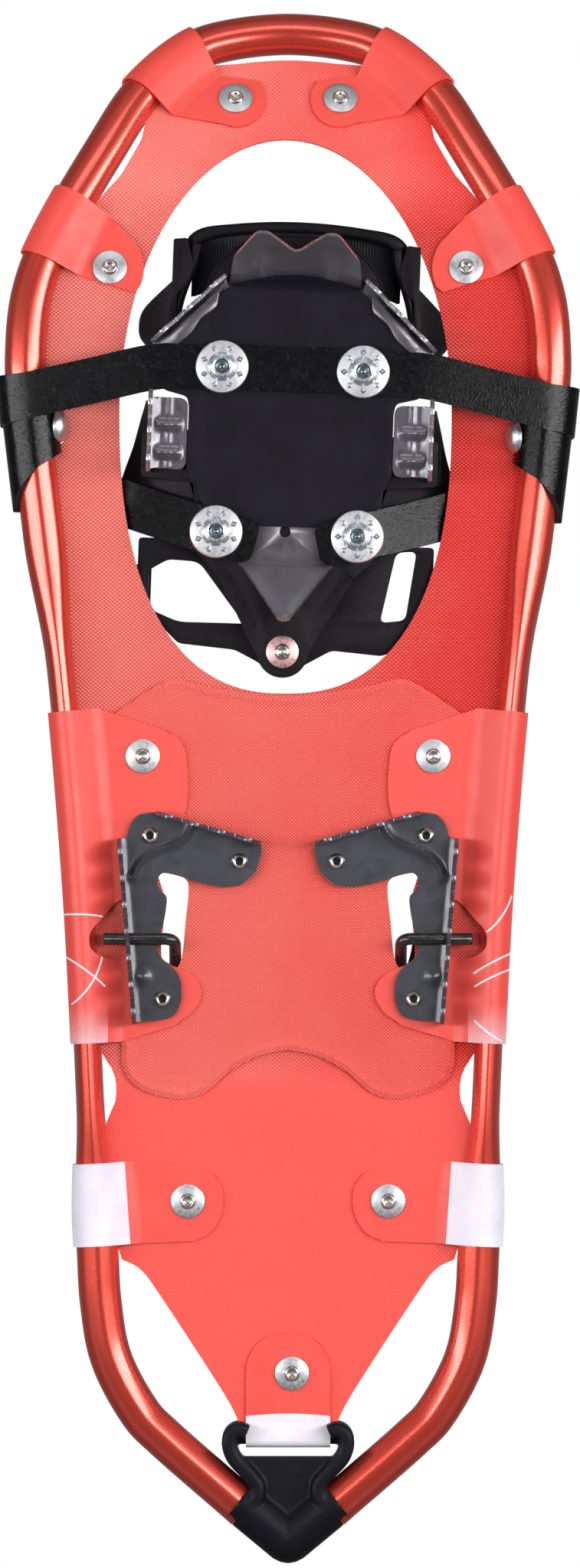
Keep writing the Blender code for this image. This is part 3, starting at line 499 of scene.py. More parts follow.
# ---------------------------------------------------------------- materials
class Look:
    """A procedural material in the making. Coordinates are the object's own, in millimetres."""

    def __init__(self, name, colour, roughness, metallic=0.0, **sockets):
        self.material = bpy.data.materials.new(name)
        self.material.use_nodes = True
        self.nodes = self.material.node_tree.nodes
        self.links = self.material.node_tree.links
        self.shader = self.nodes["Principled BSDF"]
        self.colour = (*colour, 1.0)
        self.set(self.shader, "Base Color", self.colour)
        self.set(self.shader, "Roughness", roughness)
        self.set(self.shader, "Metallic", metallic)
        for key, value in sockets.items():
            self.set(self.shader, key.replace("_", " "), value)
        coordinates = self.nodes.new("ShaderNodeTexCoord")
        scale = self.nodes.new("ShaderNodeVectorMath")
        scale.operation = "SCALE"
        scale.inputs["Scale"].default_value = 1000.0
        self.links.new(coordinates.outputs["Object"], scale.inputs[0])
        self.place = scale.outputs[0]
        split = self.nodes.new("ShaderNodeSeparateXYZ")
        self.links.new(self.place, split.inputs[0])
        self.x, self.y, self.z = split.outputs

    def set(self, node, socket, value):
        if isinstance(value, bpy.types.NodeSocket):
            self.links.new(value, node.inputs[socket])
        else:
            node.inputs[socket].default_value = value

    def math(self, operation, *values):
        node = self.nodes.new("ShaderNodeMath")
        node.operation = operation
        for i, value in enumerate(values):
            self.set(node, i, value)
        return node.outputs[0]

    def plus(self, a, b):
        return self.math("ADD", a, b)

    def minus(self, a, b):
        return self.math("SUBTRACT", a, b)

    def times(self, a, b):
        return self.math("MULTIPLY", a, b)

    def noise(self, size, detail=3.0, stretch=(1, 1, 1), roughness=0.5):
        """Noise from 0 to 1, with cells of about the given size in millimetres."""
        mapping = self.nodes.new("ShaderNodeMapping")
        self.links.new(self.place, mapping.inputs["Vector"])
        mapping.inputs["Scale"].default_value = [1 / s for s in stretch]
        node = self.nodes.new("ShaderNodeTexNoise")
        self.links.new(mapping.outputs[0], node.inputs["Vector"])
        node.inputs["Scale"].default_value = 1.0 / size
        node.inputs["Detail"].default_value = detail
        node.inputs["Roughness"].default_value = roughness
        return node.outputs["Fac"]

    def cells(self, size):
        """Distance to the nearest of scattered points, about the given size apart."""
        node = self.nodes.new("ShaderNodeTexVoronoi")
        self.links.new(self.place, node.inputs["Vector"])
        node.inputs["Scale"].default_value = 1.0 / size
        return node.outputs["Distance"]

    def ramp(self, value, low, high, out_low=0.0, out_high=1.0, smooth=False):
        node = self.nodes.new("ShaderNodeMapRange")
        if smooth:
            node.interpolation_type = "SMOOTHSTEP"
        for socket, number in zip(("Value", "From Min", "From Max", "To Min", "To Max"),
                                  (value, low, high, out_low, out_high)):
            self.set(node, socket, number)
        return node.outputs[0]

    def mix(self, share, a, b):
        """Colour a where share is 0, and b where it is 1."""
        node = self.nodes.new("ShaderNodeMix")
        node.data_type = "RGBA"
        self.set(node, 0, share)
        self.set(node, 6, a if isinstance(a, bpy.types.NodeSocket) else (*a[:3], 1.0))
        self.set(node, 7, b if isinstance(b, bpy.types.NodeSocket) else (*b[:3], 1.0))
        return node.outputs[2]

    def paint(self, colour):
        self.set(self.shader, "Base Color", colour)

    def mottled(self, size, amount):
        """The look's own colour, drifting lighter and darker by the amount, as a share."""
        light = [min(c * (1 + amount), 1.0) for c in self.colour[:3]]
        dark = [c * (1 - amount) for c in self.colour[:3]]
        return self.mix(self.ramp(self.noise(size), 0.3, 0.7), dark, light)

    def rough(self, low, high, size, detail=3.0, start=0.3, end=0.7):
        """Roughness that drifts between low and high over about size millimetres."""
        self.set(self.shader, "Roughness", self.ramp(self.noise(size, detail), start, end, low, high))

    def bump(self, height, distance):
        """distance is the height in millimetres that 1 stands for."""
        node = self.nodes.new("ShaderNodeBump")
        self.set(node, "Height", height)
        node.inputs["Distance"].default_value = distance * MM
        self.links.new(node.outputs[0], self.shader.inputs["Normal"])


def emboss(look, across=1.57, along=1.4):
    """Height of the deck's pressed diamonds, 0 in the grooves and 1 on the tops."""
    u = look.times(look.x, 1 / across)
    v = look.times(look.y, 1 / along)
    one = look.math("SINE", look.times(look.plus(u, v), math.pi))
    two = look.math("SINE", look.times(look.minus(u, v), math.pi))
    return look.math("POWER", look.math("ABSOLUTE", look.times(one, two)), 0.75)


CORAL = (0.82, 0.078, 0.060)
PRINT = (0.84, 0.80, 0.86)


def deck_look():
    look = Look("deck_fabric", (0.95, 0.10, 0.08), 0.38, Specular_IOR_Level=0.6)
    # painted sheen: the deck turns lighter and pinker towards +X, where the lamps glance off it, mixed
    # with a random drift of tone
    sheen_and_mottle = look.plus(look.times(look.x, 0.0062), look.times(look.noise(55), 0.9))
    tone = look.mix(look.ramp(sheen_and_mottle, 0.08, 1.05), (0.92, 0.052, 0.040), (1.0, 0.30, 0.25))
    # painted shade: the grooves of the pressed diamonds are darker, and they carry the painted sheen
    # too
    groove = look.mix(look.ramp(sheen_and_mottle, 0.0, 1.0), (0.56, 0.014, 0.012), (0.80, 0.050, 0.041))
    low = look.ramp(look.y, -112, -92, smooth=True)
    tone = look.mix(low, (0.90, 0.072, 0.052), tone)
    high = look.ramp(look.y, 190, 228, 1.0, 0.25, smooth=True)
    strength = look.ramp(look.times(low, high), 0, 1, 0.18, 1.0)
    fine = look.times(look.noise(0.5, 2.0), 0.12)
    diamonds = emboss(look)
    # painted shade in the grooves, weaker where the pressing is faint
    dark = look.times(look.ramp(diamonds, 0.05, 0.55, 1.0, 0.0), strength)
    look.paint(look.mix(dark, tone, groove))
    look.bump(look.plus(look.times(diamonds, strength), fine), 0.42)
    look.rough(0.36, 0.47, 9)
    return look.material


def doubler_look():
    look = Look("doubler_fabric", (0.95, 0.12, 0.09), 0.36, Specular_IOR_Level=0.6)
    # painted sheen: the doubler turns lighter and pinker towards +X, mixed with a random drift of tone
    sheen_and_mottle = look.plus(look.times(look.x, 0.003), look.times(look.noise(40), 0.9))
    tone = look.mix(look.ramp(sheen_and_mottle, 0.0, 1.0), (0.98, 0.095, 0.072), (1.0, 0.23, 0.18))
    # painted shade: the grooves of the pressed diamonds are darker, and they carry the painted sheen
    # too
    groove = look.mix(look.ramp(sheen_and_mottle, 0.0, 1.0), (0.76, 0.030, 0.024), (0.90, 0.070, 0.056))
    diamonds = emboss(look, 1.35, 1.2)
    look.paint(look.mix(look.ramp(diamonds, 0.05, 0.55, 1.0, 0.0), tone, groove))
    fine = look.times(look.noise(0.5, 2.0), 0.12)
    look.bump(look.plus(diamonds, fine), 0.34)
    look.rough(0.34, 0.44, 9)
    return look.material


def flap_base(name):
    return Look(name, CORAL, 0.40, Specular_IOR_Level=0.45)


def smooth_coral(look):
    """The flaps' fine surface, and their colour for what is printed on it."""
    look.bump(look.plus(look.times(look.noise(0.45, 2.0), 0.5),
                        look.times(look.noise(6.0), 0.8)), 0.05)
    look.rough(0.36, 0.46, 7)
    return look.mottled(22, 0.035)


def tab_look():
    look = flap_base("flap_fabric")
    look.paint(smooth_coral(look))
    return look.material


def stroke(look, start, end, bow, half_width=0.3):
    """1 on a thin printed line between two plan places, bowed sideways by so many millimetres."""
    run = Vector(end) - Vector(start)
    length = run.length
    run.normalize()
    dx = look.minus(look.x, start[0])
    dy = look.minus(look.y, start[1])
    along = look.plus(look.times(dx, run.x), look.times(dy, run.y))
    across = look.minus(look.times(dy, run.x), look.times(dx, run.y))
    share = look.math("DIVIDE", along, length)
    arc = look.times(look.times(share, look.minus(1.0, share)), 4 * bow)
    off = look.math("ABSOLUTE", look.minus(across, arc))
    inside_ends = look.times(look.math("GREATER_THAN", share, 0.0), look.math("LESS_THAN", share, 1.0))
    return look.times(look.ramp(off, half_width * 0.7, half_width * 1.3, 1.0, 0.0), inside_ends)


FLAP_LINES = {
    1: [((81.0, -46.5), (66.3, -47.0), -0.6), ((80.5, -61.0), (65.3, -72.1), -0.8),
        ((66.3, -60.9), (77.4, -78.5), -2.0)],
    -1: [((-80.0, -39.6), (-70.9, -52.6), -1.2), ((-79.6, -60.3), (-66.3, -67.4), 0.5),
         ((-79.6, -65.9), (-66.6, -72.1), 0.5), ((-66.6, -84.2), (-76.5, -91.6), 0.5)]}


def mid_tab_look(side):
    """Smooth coral with thin printed lines and a fade of dots at the rear outer corner."""
    look = flap_base("flap_print_" + ("right" if side > 0 else "left"))
    base = smooth_coral(look)
    shown = None
    for start, end, bow in FLAP_LINES[side]:
        line = stroke(look, start, end, bow)
        shown = line if shown is None else look.math("MAXIMUM", shown, line)
    pitch = 0.95
    u = look.times(look.plus(look.x, look.y), math.pi / pitch)
    v = look.times(look.minus(look.x, look.y), math.pi / pitch)
    dots = look.math("ABSOLUTE", look.times(look.math("SINE", u), look.math("SINE", v)))
    fade = look.math("GREATER_THAN", dots, look.ramp(look.y, -96, -78, 0.22, 1.02))
    outside = look.math("GREATER_THAN", look.times(look.x, side), 64.4)
    shown = look.math("MAXIMUM", shown, look.times(fade, outside))
    look.paint(look.mix(shown, base, PRINT))
    return look.material


def rear_tab_look(side):
    look = flap_base("flap_block_" + ("right" if side > 0 else "left"))
    base = smooth_coral(look)
    out = look.times(look.x, side)
    slant = look.times(look.plus(look.y, 149.0), 0.07)
    print_on = look.ramp(look.minus(out, slant), 57.4, 57.6)
    tint = look.mix(look.ramp(look.noise(14), 0.3, 0.7), (0.74, 0.69, 0.80), (0.86, 0.82, 0.90))
    look.paint(look.mix(print_on, base, tint))
    return look.material


def tail_tab_look():
    look = flap_base("flap_tail")
    base = smooth_coral(look)
    bow = look.times(look.times(look.x, look.x), 0.004)
    print_on = look.ramp(look.plus(look.y, bow), -225.3, -225.1, 1.0, 0.0)
    tint = look.mix(look.ramp(look.noise(9), 0.3, 0.7), (0.78, 0.72, 0.80), (0.88, 0.84, 0.90))
    look.paint(look.mix(print_on, base, tint))
    return look.material


def tube_look():
    """Satin anodised tube with a fine grain drawn out along it."""
    look = Look("anodised_tube", (0.66, 0.058, 0.034), 0.26, 0.65, Specular_IOR_Level=0.7,
                Coat_Weight=0.7, Coat_Roughness=0.12)
    grain = look.noise(0.35, 2.0)
    look.paint(look.mix(look.ramp(grain, 0.25, 0.75, 0.0, 0.02), look.mottled(60, 0.06),
                        (1.0, 0.30, 0.22)))
    look.rough(0.25, 0.29, 0.6, 3.0, 0.25, 0.75)
    look.bump(look.plus(grain, look.times(look.noise(3.0, 3.0, (1, 14, 1)), 0.6)), 0.0008)
    return look.material


def moulding_look(name, colour, roughness, grain=0.55, depth=0.05):
    """Moulded plastic with a spark-eroded grain and faint scuffs."""
    look = Look(name, colour, roughness, Specular_IOR_Level=0.13)
    scuff = look.ramp(look.noise(5.0, 6.0, (1, 3, 1), 0.7), 0.60, 0.75, 0.0, 0.35)
    lighter = [c * 1.8 + 0.003 for c in colour]
    look.paint(look.mix(scuff, look.mottled(11, 0.16), lighter))
    look.rough(roughness - 0.07, roughness + 0.07, 2.2, 4.0)
    look.bump(look.noise(grain, 3.0), depth)
    return look.material


def strap_look():
    """Glossy pebbled urethane."""
    look = Look("gloss_strap", (0.0012, 0.0011, 0.0018), 0.20, Specular_IOR_Level=0.24)
    look.paint(look.mottled(6, 0.35))
    pebble = look.plus(look.times(look.cells(0.8), 0.8), look.times(look.noise(0.4), 0.7))
    look.bump(pebble, 0.055)
    look.rough(0.18, 0.30, 1.4)
    return look.material


def steel_look(name, colour, roughness, metallic, rim):
    """Plate steel. rim is the colour of its bare cut edges, on the second slot, lighter than the plate:
    a painted edge highlight as well as bare metal.
    """
    look = Look(name, colour, roughness, metallic, Specular_IOR_Level=0.5, Coat_Weight=0.6,
                Coat_Roughness=0.13)
    look.paint(look.mottled(13, 0.14))
    scratch = look.noise(0.5, 4.0, (1, 18, 1))
    look.rough(roughness - 0.06, roughness + 0.07, 3.5, 4.0)
    look.bump(look.plus(look.times(look.noise(0.7, 2.0), 0.7), look.times(scratch, 0.4)),
              0.03)
    # painted edge highlight: the cut edges get a lighter metal than the plate
    edge = Look(name + "_edge", rim, 0.28, 0.9)
    edge.paint(edge.mottled(1.6, 0.28))
    edge.rough(0.22, 0.40, 0.9, 3.0)
    edge.bump(edge.noise(0.6, 3.0), 0.04)
    return look.material, edge.material


def alloy_look(name, colour, roughness):
    """Turned light metal: fine rings about the piece's own axis."""
    look = Look(name, colour, roughness, 1.0)
    far = look.math("SQRT", look.plus(look.times(look.x, look.x),
                                      look.times(look.y, look.y)))
    rings = look.math("SINE", look.times(far, 2 * math.pi / 0.32))
    look.paint(look.mottled(2.2, 0.10))
    look.rough(roughness - 0.06, roughness + 0.08, 1.1, 4.0)
    look.bump(look.plus(look.times(rings, 0.35), look.noise(0.5, 3.0)), 0.02)
    return look.material


def wire_look():
    look = Look("black_wire", (0.012, 0.012, 0.013), 0.25, 0.0, Specular_IOR_Level=0.6, Coat_Weight=0.3,
                Coat_Roughness=0.15)
    wear = look.ramp(look.noise(3.0, 5.0), 0.64, 0.72)
    look.paint(look.mix(wear, look.mottled(5, 0.3), (0.05, 0.05, 0.055)))
    look.bump(look.noise(1.2, 3.0), 0.03)
    look.rough(0.20, 0.32, 2.0)
    return look.material


def pad_look(name, colour):
    """Closed-cell foam skin."""
    look = Look(name, colour, 0.75, Specular_IOR_Level=0.3)
    look.paint(look.mottled(4, 0.18))
    look.bump(look.plus(look.cells(0.9), look.times(look.noise(0.3), 0.5)), 0.08)
    look.rough(0.68, 0.84, 3.0)
    return look.material


deck_fabric = deck_look()
doubler_fabric = doubler_look()
flap_fabric = tab_look()
anodised = tube_look()
cap_black = moulding_look("cap_moulding", (0.0075, 0.007, 0.011), 0.42, 0.5, 0.05)
charcoal = moulding_look("binding_moulding", (0.0085, 0.0068, 0.0095), 0.42, 0.6, 0.06)
navy_black = moulding_look("plate_moulding", (0.0062, 0.0052, 0.0095), 0.46, 0.45, 0.05)
rubber = moulding_look("rubber_moulding", (0.0046, 0.0044, 0.0060), 0.46, 0.5, 0.05)
ribbed_rubber = moulding_look("ribbed_rubber", (0.024, 0.023, 0.027), 0.36, 0.5, 0.04)
strap_edge = moulding_look("strap_edge", (0.020, 0.020, 0.022), 0.40, 0.4, 0.03)
gloss_black = strap_look()
crampon_steel, crampon_edge_highlight = steel_look("crampon_steel", (0.115, 0.108, 0.125), 0.32, 0.6,
                                         (0.50, 0.50, 0.54))
tooth_steel = steel_look("tooth_steel", (0.16, 0.155, 0.175), 0.34, 0.5, (0.55, 0.55, 0.58))[0]
painted_steel, painted_edge_highlight = steel_look("painted_steel", (0.050, 0.051, 0.062), 0.34, 0.30,
                                         (0.20, 0.20, 0.235))
washer_alloy = alloy_look("washer_alloy", (0.64, 0.65, 0.68), 0.36)
rivet_metal = alloy_look("rivet_metal", (0.60, 0.58, 0.54), 0.24)
bolt_alloy = alloy_look("bolt_alloy", (0.66, 0.68, 0.72), 0.26)
pink_alloy = alloy_look("anodised_washer", (0.76, 0.46, 0.47), 0.32)
socket_steel = alloy_look("socket_steel", (0.22, 0.28, 0.32), 0.20)
# painted shade for the hollows of the heel rivets
hole_shade = moulding_look("rivet_hole_shade", (0.010, 0.010, 0.010), 0.5)
black_wire = wire_look()
heel_foam = pad_look("heel_foam", (0.030, 0.030, 0.033))
instep_foam = pad_look("instep_foam", (0.035, 0.034, 0.038))


# ---------------------------------------------------------------- making pieces
def piece(name, mesh, looks, body, stands_for=(), place=rocker, centre=None, sharp=32,
          ride=True):
    """Make a piece in metres and tie it to its body. centre, placed as a binding or frame point,
    becomes the piece's own origin, so that a turned part's grain runs round its axis. With ride=False
    it is left untied."""
    origin = Vector((0, 0, 0))
    if centre is not None:
        origin = place(centre)
        for vert in mesh.vertices:
            vert.co = vert.co * MM
    else:
        for vert in mesh.vertices:
            vert.co = place(vert.co) * MM
    mesh.update()
    item = bpy.data.objects.new(name, mesh)
    mesh.name = name
    item.location = origin * MM
    if centre is not None and place is rocker and centre[1] > ROCKER_START:
        item.rotation_euler = ((centre[1] - ROCKER_START) / ROCKER_RADIUS, 0, 0)
    bpy.context.collection.objects.link(item)
    looks = looks if isinstance(looks, (list, tuple)) else [looks]
    if len(mesh.materials) == 0:
        for look in looks:
            mesh.materials.append(look)
    mesh.shade_smooth()
    mesh.set_sharp_from_angle(angle=math.radians(sharp))
    if ride:
        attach(item, body)
    if stands_for:
        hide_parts(*([stands_for] if isinstance(stands_for, str) else stands_for))
    return item


def two_looks(mesh, looks, is_edge):
    """Give the mesh two looks, the second one on the faces that is_edge(polygon) picks."""
    for look in looks:
        mesh.materials.append(look)
    for polygon in mesh.polygons:
        polygon.material_index = 1 if is_edge(polygon) else 0
    return mesh


def cut_plate(mesh, looks, limit=0.45):
    """Second look on the upright faces, the cut edges of a plate that lies flat: the lighter edge look,
    a painted edge highlight.
    """
    return two_looks(mesh, looks, lambda polygon: abs(polygon.normal.z) < limit)


def pairs():
    return ((1, "right"), (-1, "left"))


# ---------------------------------------------------------------- frame tube and tail cap
def make_frame_tube():
    line = [Vector((p.x, p.y)) for p in frame_line(9)]
    line = [Vector(INTO_CAP)] + line + [Vector((-INTO_CAP[0], INTO_CAP[1]))]
    path = [(p.x, p.y, TUBE_Z) for p in line]

    def section(i):
        return tube_section(*tube_half(path[i][1]), sides=36)
    piece("tube", sweep(path, section, up=(0, 0, 1)), anodised, "frame", "frame_tube")


CAP_RIM = [(14.6, -231.6), (17.4, -230.6), (20.2, -232.2), (21.0, -236.0), (19.2, -241.0),
           (14.2, -246.4), (11.0, -250.6), (11.4, -255.4), (14.0, -258.6)]


def make_tail_cap():
    """Two sleeves that meet in a point, a web between them, and a raised rim with two ears."""
    parts = []
    bores = []
    mouth, point = Vector((17.6, -256.0, TUBE_Z)), Vector((0, -270.6, TUBE_Z))
    along = (point - mouth).normalized()
    dome = [math.radians(a) for a in (20, 40, 60, 78)]
    for side in (1, -1):
        path = [mouth + (point - mouth) * k / 8 for k in range(9)]
        path += [point + along * 8.3 * math.sin(a) for a in dome]
        radii = [8.5] * 9 + [8.3 * math.cos(a) for a in dome]
        path = [Vector((p.x * side, p.y, p.z)) for p in path]
        parts.append(sweep(path, lambda i: tube_section(radii[i], radii[i] * 1.06, 28), up=(0, 0, 1)))
        rim = curve_through([(x * side, y, TUBE_Z) for x, y in CAP_RIM], 4)
        parts.append(sweep(rim, ribbon_section(2.7, 17.6, 1.6), up=(0, 0, 1)))
        (ax, ay), (bx, by) = FRAME_HALF[-2], INTO_CAP
        tail = Vector((side * (ax + (ax - bx)), ay + (ay - by), TUBE_Z))
        tip = Vector((side * bx, by, TUBE_Z))
        bores.append(sweep([tail, tip], tube_section(TUBE_ROUND + 0.25, TUBE_ROUND + 0.25, 32),
                           up=(0, 0, 1)))
    web = [(17.5, -240.6), (13, -246), (9, -251), (10.5, -258), (0, -266), (-10.5, -258), (-9, -251),
           (-13, -246), (-17.5, -240.6)]
    parts.append(plate(web, TUBE_Z - 4.6, TUBE_Z + 4.6))
    bar = [Vector((x, *CAP_BAR)) for x in (-19, 0, 19)]
    parts.append(sweep(bar, tube_section(1.35, 1.35, 12), up=(0, 0, 1)))
    body = moulded(parts, 0.55, 5, bores)
    piece("tail_cap_moulding", body, cap_black, "frame", "tail_cap", sharp=60)


# ---------------------------------------------------------------- deck
def opening_outline(sides=120):
    """The toe opening: half an ellipse in front, and a squarer curve behind."""
    cx, cy = OPENING_CENTRE
    points = []
    for i in range(sides):
        turn = 2 * math.pi * i / sides
        c, s = math.cos(turn), math.sin(turn)
        if s >= 0:
            x, y = OPENING_HALF_WIDTH * c, OPENING_FRONT * s
        else:
            power = 2 / OPENING_REAR_POWER
            x = OPENING_HALF_WIDTH * math.copysign(abs(c) ** power, c)
            y = -OPENING_REAR * abs(s) ** power
        points.append((cx + x, flat_y(cy + y)))
    return points


def deck_edge(y):
    """How far inside the tube's centre line the deck's edge runs, at a flat place along Y."""
    stops = [(flat_y(place), extra) for place, extra in DECK_INSET]
    return tube_half_linear(y)[0] + read_stops(y, stops)


def deck_outline():
    line = frame_line(24)
    half = []
    for i in range(1, len(line) - 1):
        point = line[i]
        if point.x < -0.01 or point.y < -166:
            continue
        run = (line[i + 1] - line[i - 1]).normalized()
        inward = Vector((-run.y, run.x))
        half.append(point + inward * deck_edge(point.y))
    half = [(p.x, p.y) for p in half if p.x > 0.5]
    spaced = [half[0]]
    for p in half[1:]:
        if (Vector(p) - Vector(spaced[-1])).length > 1.2:
            spaced.append(p)
    tail = [tuple(p) for p in curve_through(DECK_TAIL[::-1], 5)]
    half = tail + spaced
    return half + [(-x, y) for x, y in half[::-1]]


def heel_slots():
    loop = [tuple(p) for p in curve_through(HEEL_SLOT, 4, closed=True)]
    return [loop, [(-x, y) for x, y in loop[::-1]]]


def make_deck():
    """One sheet, which stands for both of the CAD's, with the toe opening and the heel slots."""
    mesh = plate(deck_outline(), *DECK, [opening_outline()] + heel_slots(), grid=5.0, lift=relief)
    piece("deck", mesh, deck_fabric, "frame", ("deck_sheet", "deck_rear_sheet"), sharp=40)


def inset_points(outline, depths, keep):
    """Points at the given depths inside an outline, where keep(x, y) says so."""
    near = kdtree.KDTree(len(outline))
    for i, p in enumerate(outline):
        near.insert((p[0], p[1], 0), i)
    near.balance()
    out = []
    count = len(outline)
    for depth in depths:
        for i in range(count):
            a, b = Vector(outline[i - 1]), Vector(outline[(i + 1) % count])
            run = (b - a).normalized()
            for way in (1, -1):
                spot = Vector(outline[i]) + Vector((-run.y, run.x)) * depth * way
                if keep(spot.x, spot.y) and inside(spot, outline) \
                        and near.find((spot.x, spot.y, 0))[2] > depth * 0.93:
                    out.append((spot.x, spot.y))
    return out, near


def make_doubler():
    """Second layer at the heel, with a pressed welt along its free edges."""
    side = [(p.x - deck_edge(p.y), p.y) for p in frame_line(4) if p.x > 0 and -90 < p.y < 26][::-1]
    top = [(p.x, p.y) for p in curve_through(DOUBLER_TOP, 6)]
    wave = [(p.x, p.y) for p in curve_through(DOUBLER_WAVE, 8)]
    half = top + side + wave
    outline = half + [(-x, y) for x, y in half[-2:0:-1]]

    def free(x, y):
        return y > 21 or (y < -88 and abs(x) < 61)
    extra, near = inset_points(outline, (0.6, 1.2, 1.8, 2.5, 3.4, 4.6), free)

    def lift(x, y):
        depth = near.find((x, y, 0))[2]
        welt = math.exp(-((depth - 1.9) / 1.15) ** 2) if free(x, y) else 0.0
        return relief(x, y) - 0.9 * welt
    mesh = plate(outline, *UNDER_DECK, heel_slots(), grid=4.0, extra=extra, lift=lift)
    piece("doubler", mesh, doubler_fabric, "frame", "deck_doubler", sharp=40)


# ---------------------------------------------------------------- wrap tabs
def tube_place(side, low, high, rows):
    """Rows of (centre, inward) along one side of the tube, between two flat places along Y."""
    line = [p for p in frame_line(24) if p.x * side > 0]
    if side < 0:
        line = line[::-1]
    picked = [p for p in line if low <= p.y <= high]
    rows_out = []
    for k in range(rows):
        place = k * (len(picked) - 1) / (rows - 1)
        i = min(int(place), len(picked) - 2)
        a, b = picked[i], picked[i + 1]
        run = (b - a).normalized()
        inward = Vector((-run.y, run.x)) * side
        rows_out.append((a + (b - a) * (place - i), inward))
    return rows_out


def round_end(centre, radius, towards, spread, rows):
    """Points of a rounded flap end: an arc about centre, middle point in the direction towards."""
    points = []
    for k in range(rows):
        turn = math.radians(towards - spread + 2 * spread * k / (rows - 1))
        points.append((centre[0] + radius * math.cos(turn), centre[1] + radius * math.sin(turn)))
    return points


TABS = {
    # name: (low, high along Y, inner edge, level)
    "toe": (248.5, 266.5, round_end((18.5, 247.3), 10.3, 218, 78, 9)[::-1], UNDER_DECK),
    "front": (187.5, 211.0, [(55.5, 176.5), (53.2, 178.5), (52, 182), (51.7, 186), (52.5, 190),
                             (54.5, 194), (57.5, 197)], UNDER_DECK),
    "mid": (-95.5, 27.3, [(41, -86.2), (33.6, -80.5), (31, -73.5), (35.5, -67.3), (46, -62), (49, -50),
                          (49, -34),
                          (38.2, -13), (35.9, -4), (36.2, 8), (38, 15), (44, 19.6)], UNDER_DOUBLER),
    "rear": (-165.0, -133.5, [(34, -163.5), (28, -160.5), (24.3, -155), (23.1, -149), (24, -143.5),
                              (28, -138.5), (34, -136.5)], UNDER_DECK)}


# how far inside the tube a flap leaves the deck's edge, and lies flat again under the deck
LEAVES_DECK = 4.0
LIES_FLAT = 6.8


def wrap_tab(side, low, high, ends, level, row_steps=5, wrap_steps=30, flat_steps=10):
    """A flap of the deck: from the deck's edge over the tube, round it and back under the deck."""
    thick = level[1] - level[0]
    flat = sum(level) / 2 - TUBE_Z
    start = sum(DECK) / 2 - TUBE_Z
    end_line = curve_through([(x * side, flat_y(y)) for x, y in ends], row_steps)
    places = tube_place(side, flat_y(low), flat_y(high), len(end_line))
    grid = []
    for (centre, inward), end in zip(places, end_line):
        half_width, half_height = tube_half(centre.y)
        rw, rh = half_width + GAP + thick / 2, half_height + GAP + thick / 2

        def at(n, z):
            spot = centre + inward * n
            return Vector((spot.x, spot.y, TUBE_Z + z))
        first = Vector(((half_width + LEAVES_DECK) / rw, start / rh))
        last = Vector(((half_width + LIES_FLAT) / rw, flat / rh))
        a = math.atan2(first.y, first.x) + math.acos(1 / first.length)
        b = 2 * math.pi + math.atan2(last.y, last.x) - math.acos(1 / last.length)
        row = [at(half_width + LEAVES_DECK, start)]
        for m in range(wrap_steps + 1):
            turn = a + (b - a) * m / wrap_steps
            row.append(at(rw * math.cos(turn), rh * math.sin(turn)))
        off_tube = row[-1]
        knee = at(half_width + LIES_FLAT, flat)
        for m in range(1, 4):
            row.append(off_tube + (knee - off_tube) * m / 3)
        for m in range(1, flat_steps + 1):
            t = m / flat_steps
            x, y = knee.x + (end.x - knee.x) * t, knee.y + (end.y - knee.y) * t
            row.append(Vector((x, y, knee.z + relief(x, y) * smooth_step(t, 0.0, 0.5))))
        grid.append(row)
    return shell(grid, thick)


def make_tabs():
    for side, word in pairs():
        looks = {"toe": flap_fabric, "front": flap_fabric, "mid": mid_tab_look(side),
                 "rear": rear_tab_look(side)}
        for name, (low, high, ends, level) in TABS.items():
            mesh = wrap_tab(side, low, high, ends, level)
            if name == "mid":
                opening = rounded([(side * px, py) for px, py in WIRE_WINDOW], [1, 3, 4, 3, 3, 4, 1])
                mesh = boolean(mesh, [plate(opening, 10, UNDER_DECK[0])], "DIFFERENCE")
            piece(f"{name}_flap_{word}", mesh, looks[name], "frame", f"{name}_tab_{word}",
                  sharp=50)
    make_tail_loop()


def make_tail_loop():
    """The tail's flap: under the deck, round the cap's bar and back on top of the deck."""
    half_width = 15.1
    centre_y = -210.5
    bar_y, bar_z = CAP_BAR
    bar_radius = 2.05
    low = sum(UNDER_DECK) / 2
    high = DECK[1] + 0.55
    path = []
    for k in range(15):
        y = centre_y - 18.5 * k / 14
        path.append((y, low + relief(0, y)))
    path += [(-231.2, low - 0.35), (-232.6, low - 0.95)]
    for k in range(11):
        turn = math.radians(-70 - 220 * k / 10)
        path.append((bar_y + bar_radius * math.cos(turn), bar_z + bar_radius * math.sin(turn)))
    path += [(-232.6, high + 0.5), (-231.2, high + 0.1), (-229.5, high), (-227.5, high)]
    grid = []
    for y, z in path:
        grid.append([Vector((half_width * (k / 7 - 1), y, z)) for k in range(15)])
    top = []
    for k in range(8, 0, -1):
        turn = math.radians(90 * k / 8)
        y = centre_y + half_width * math.sin(turn)
        reach = max(half_width * math.cos(turn), 0.6)
        top.append([Vector((reach * (j / 7 - 1), y, low + relief(0, y))) for j in range(15)])
    piece("tail_flap", shell(top + grid, 0.8), tail_tab_look(), "frame", "tail_tab",
          sharp=50)


# ---------------------------------------------------------------- rivets
def rivet_meshes(washer):
    """Washer, and the tubular rivet through it, seen from below. Heights are from the washer's seat."""
    head = RIVET_HEAD
    disc = [(0, -0.25), (head - 0.4, -0.25), (head - 0.4, -0.85), (washer - 0.45, -0.85),
            (washer - 0.12, -0.72), (washer, -0.45), (washer, -0.02), (0, -0.02)]
    rivet = [(0, -0.55), (0.75, -0.6), (1.15, -0.85), (1.25, -1.55), (1.45, -1.95), (1.85, -2.15),
             (2.3, -2.05),
             (head - 0.25, -1.65), (head - 0.02, -1.15), (head, -0.86), (head - 0.3, -0.80), (0, -0.80)]
    return lathe(disc), lathe(rivet)


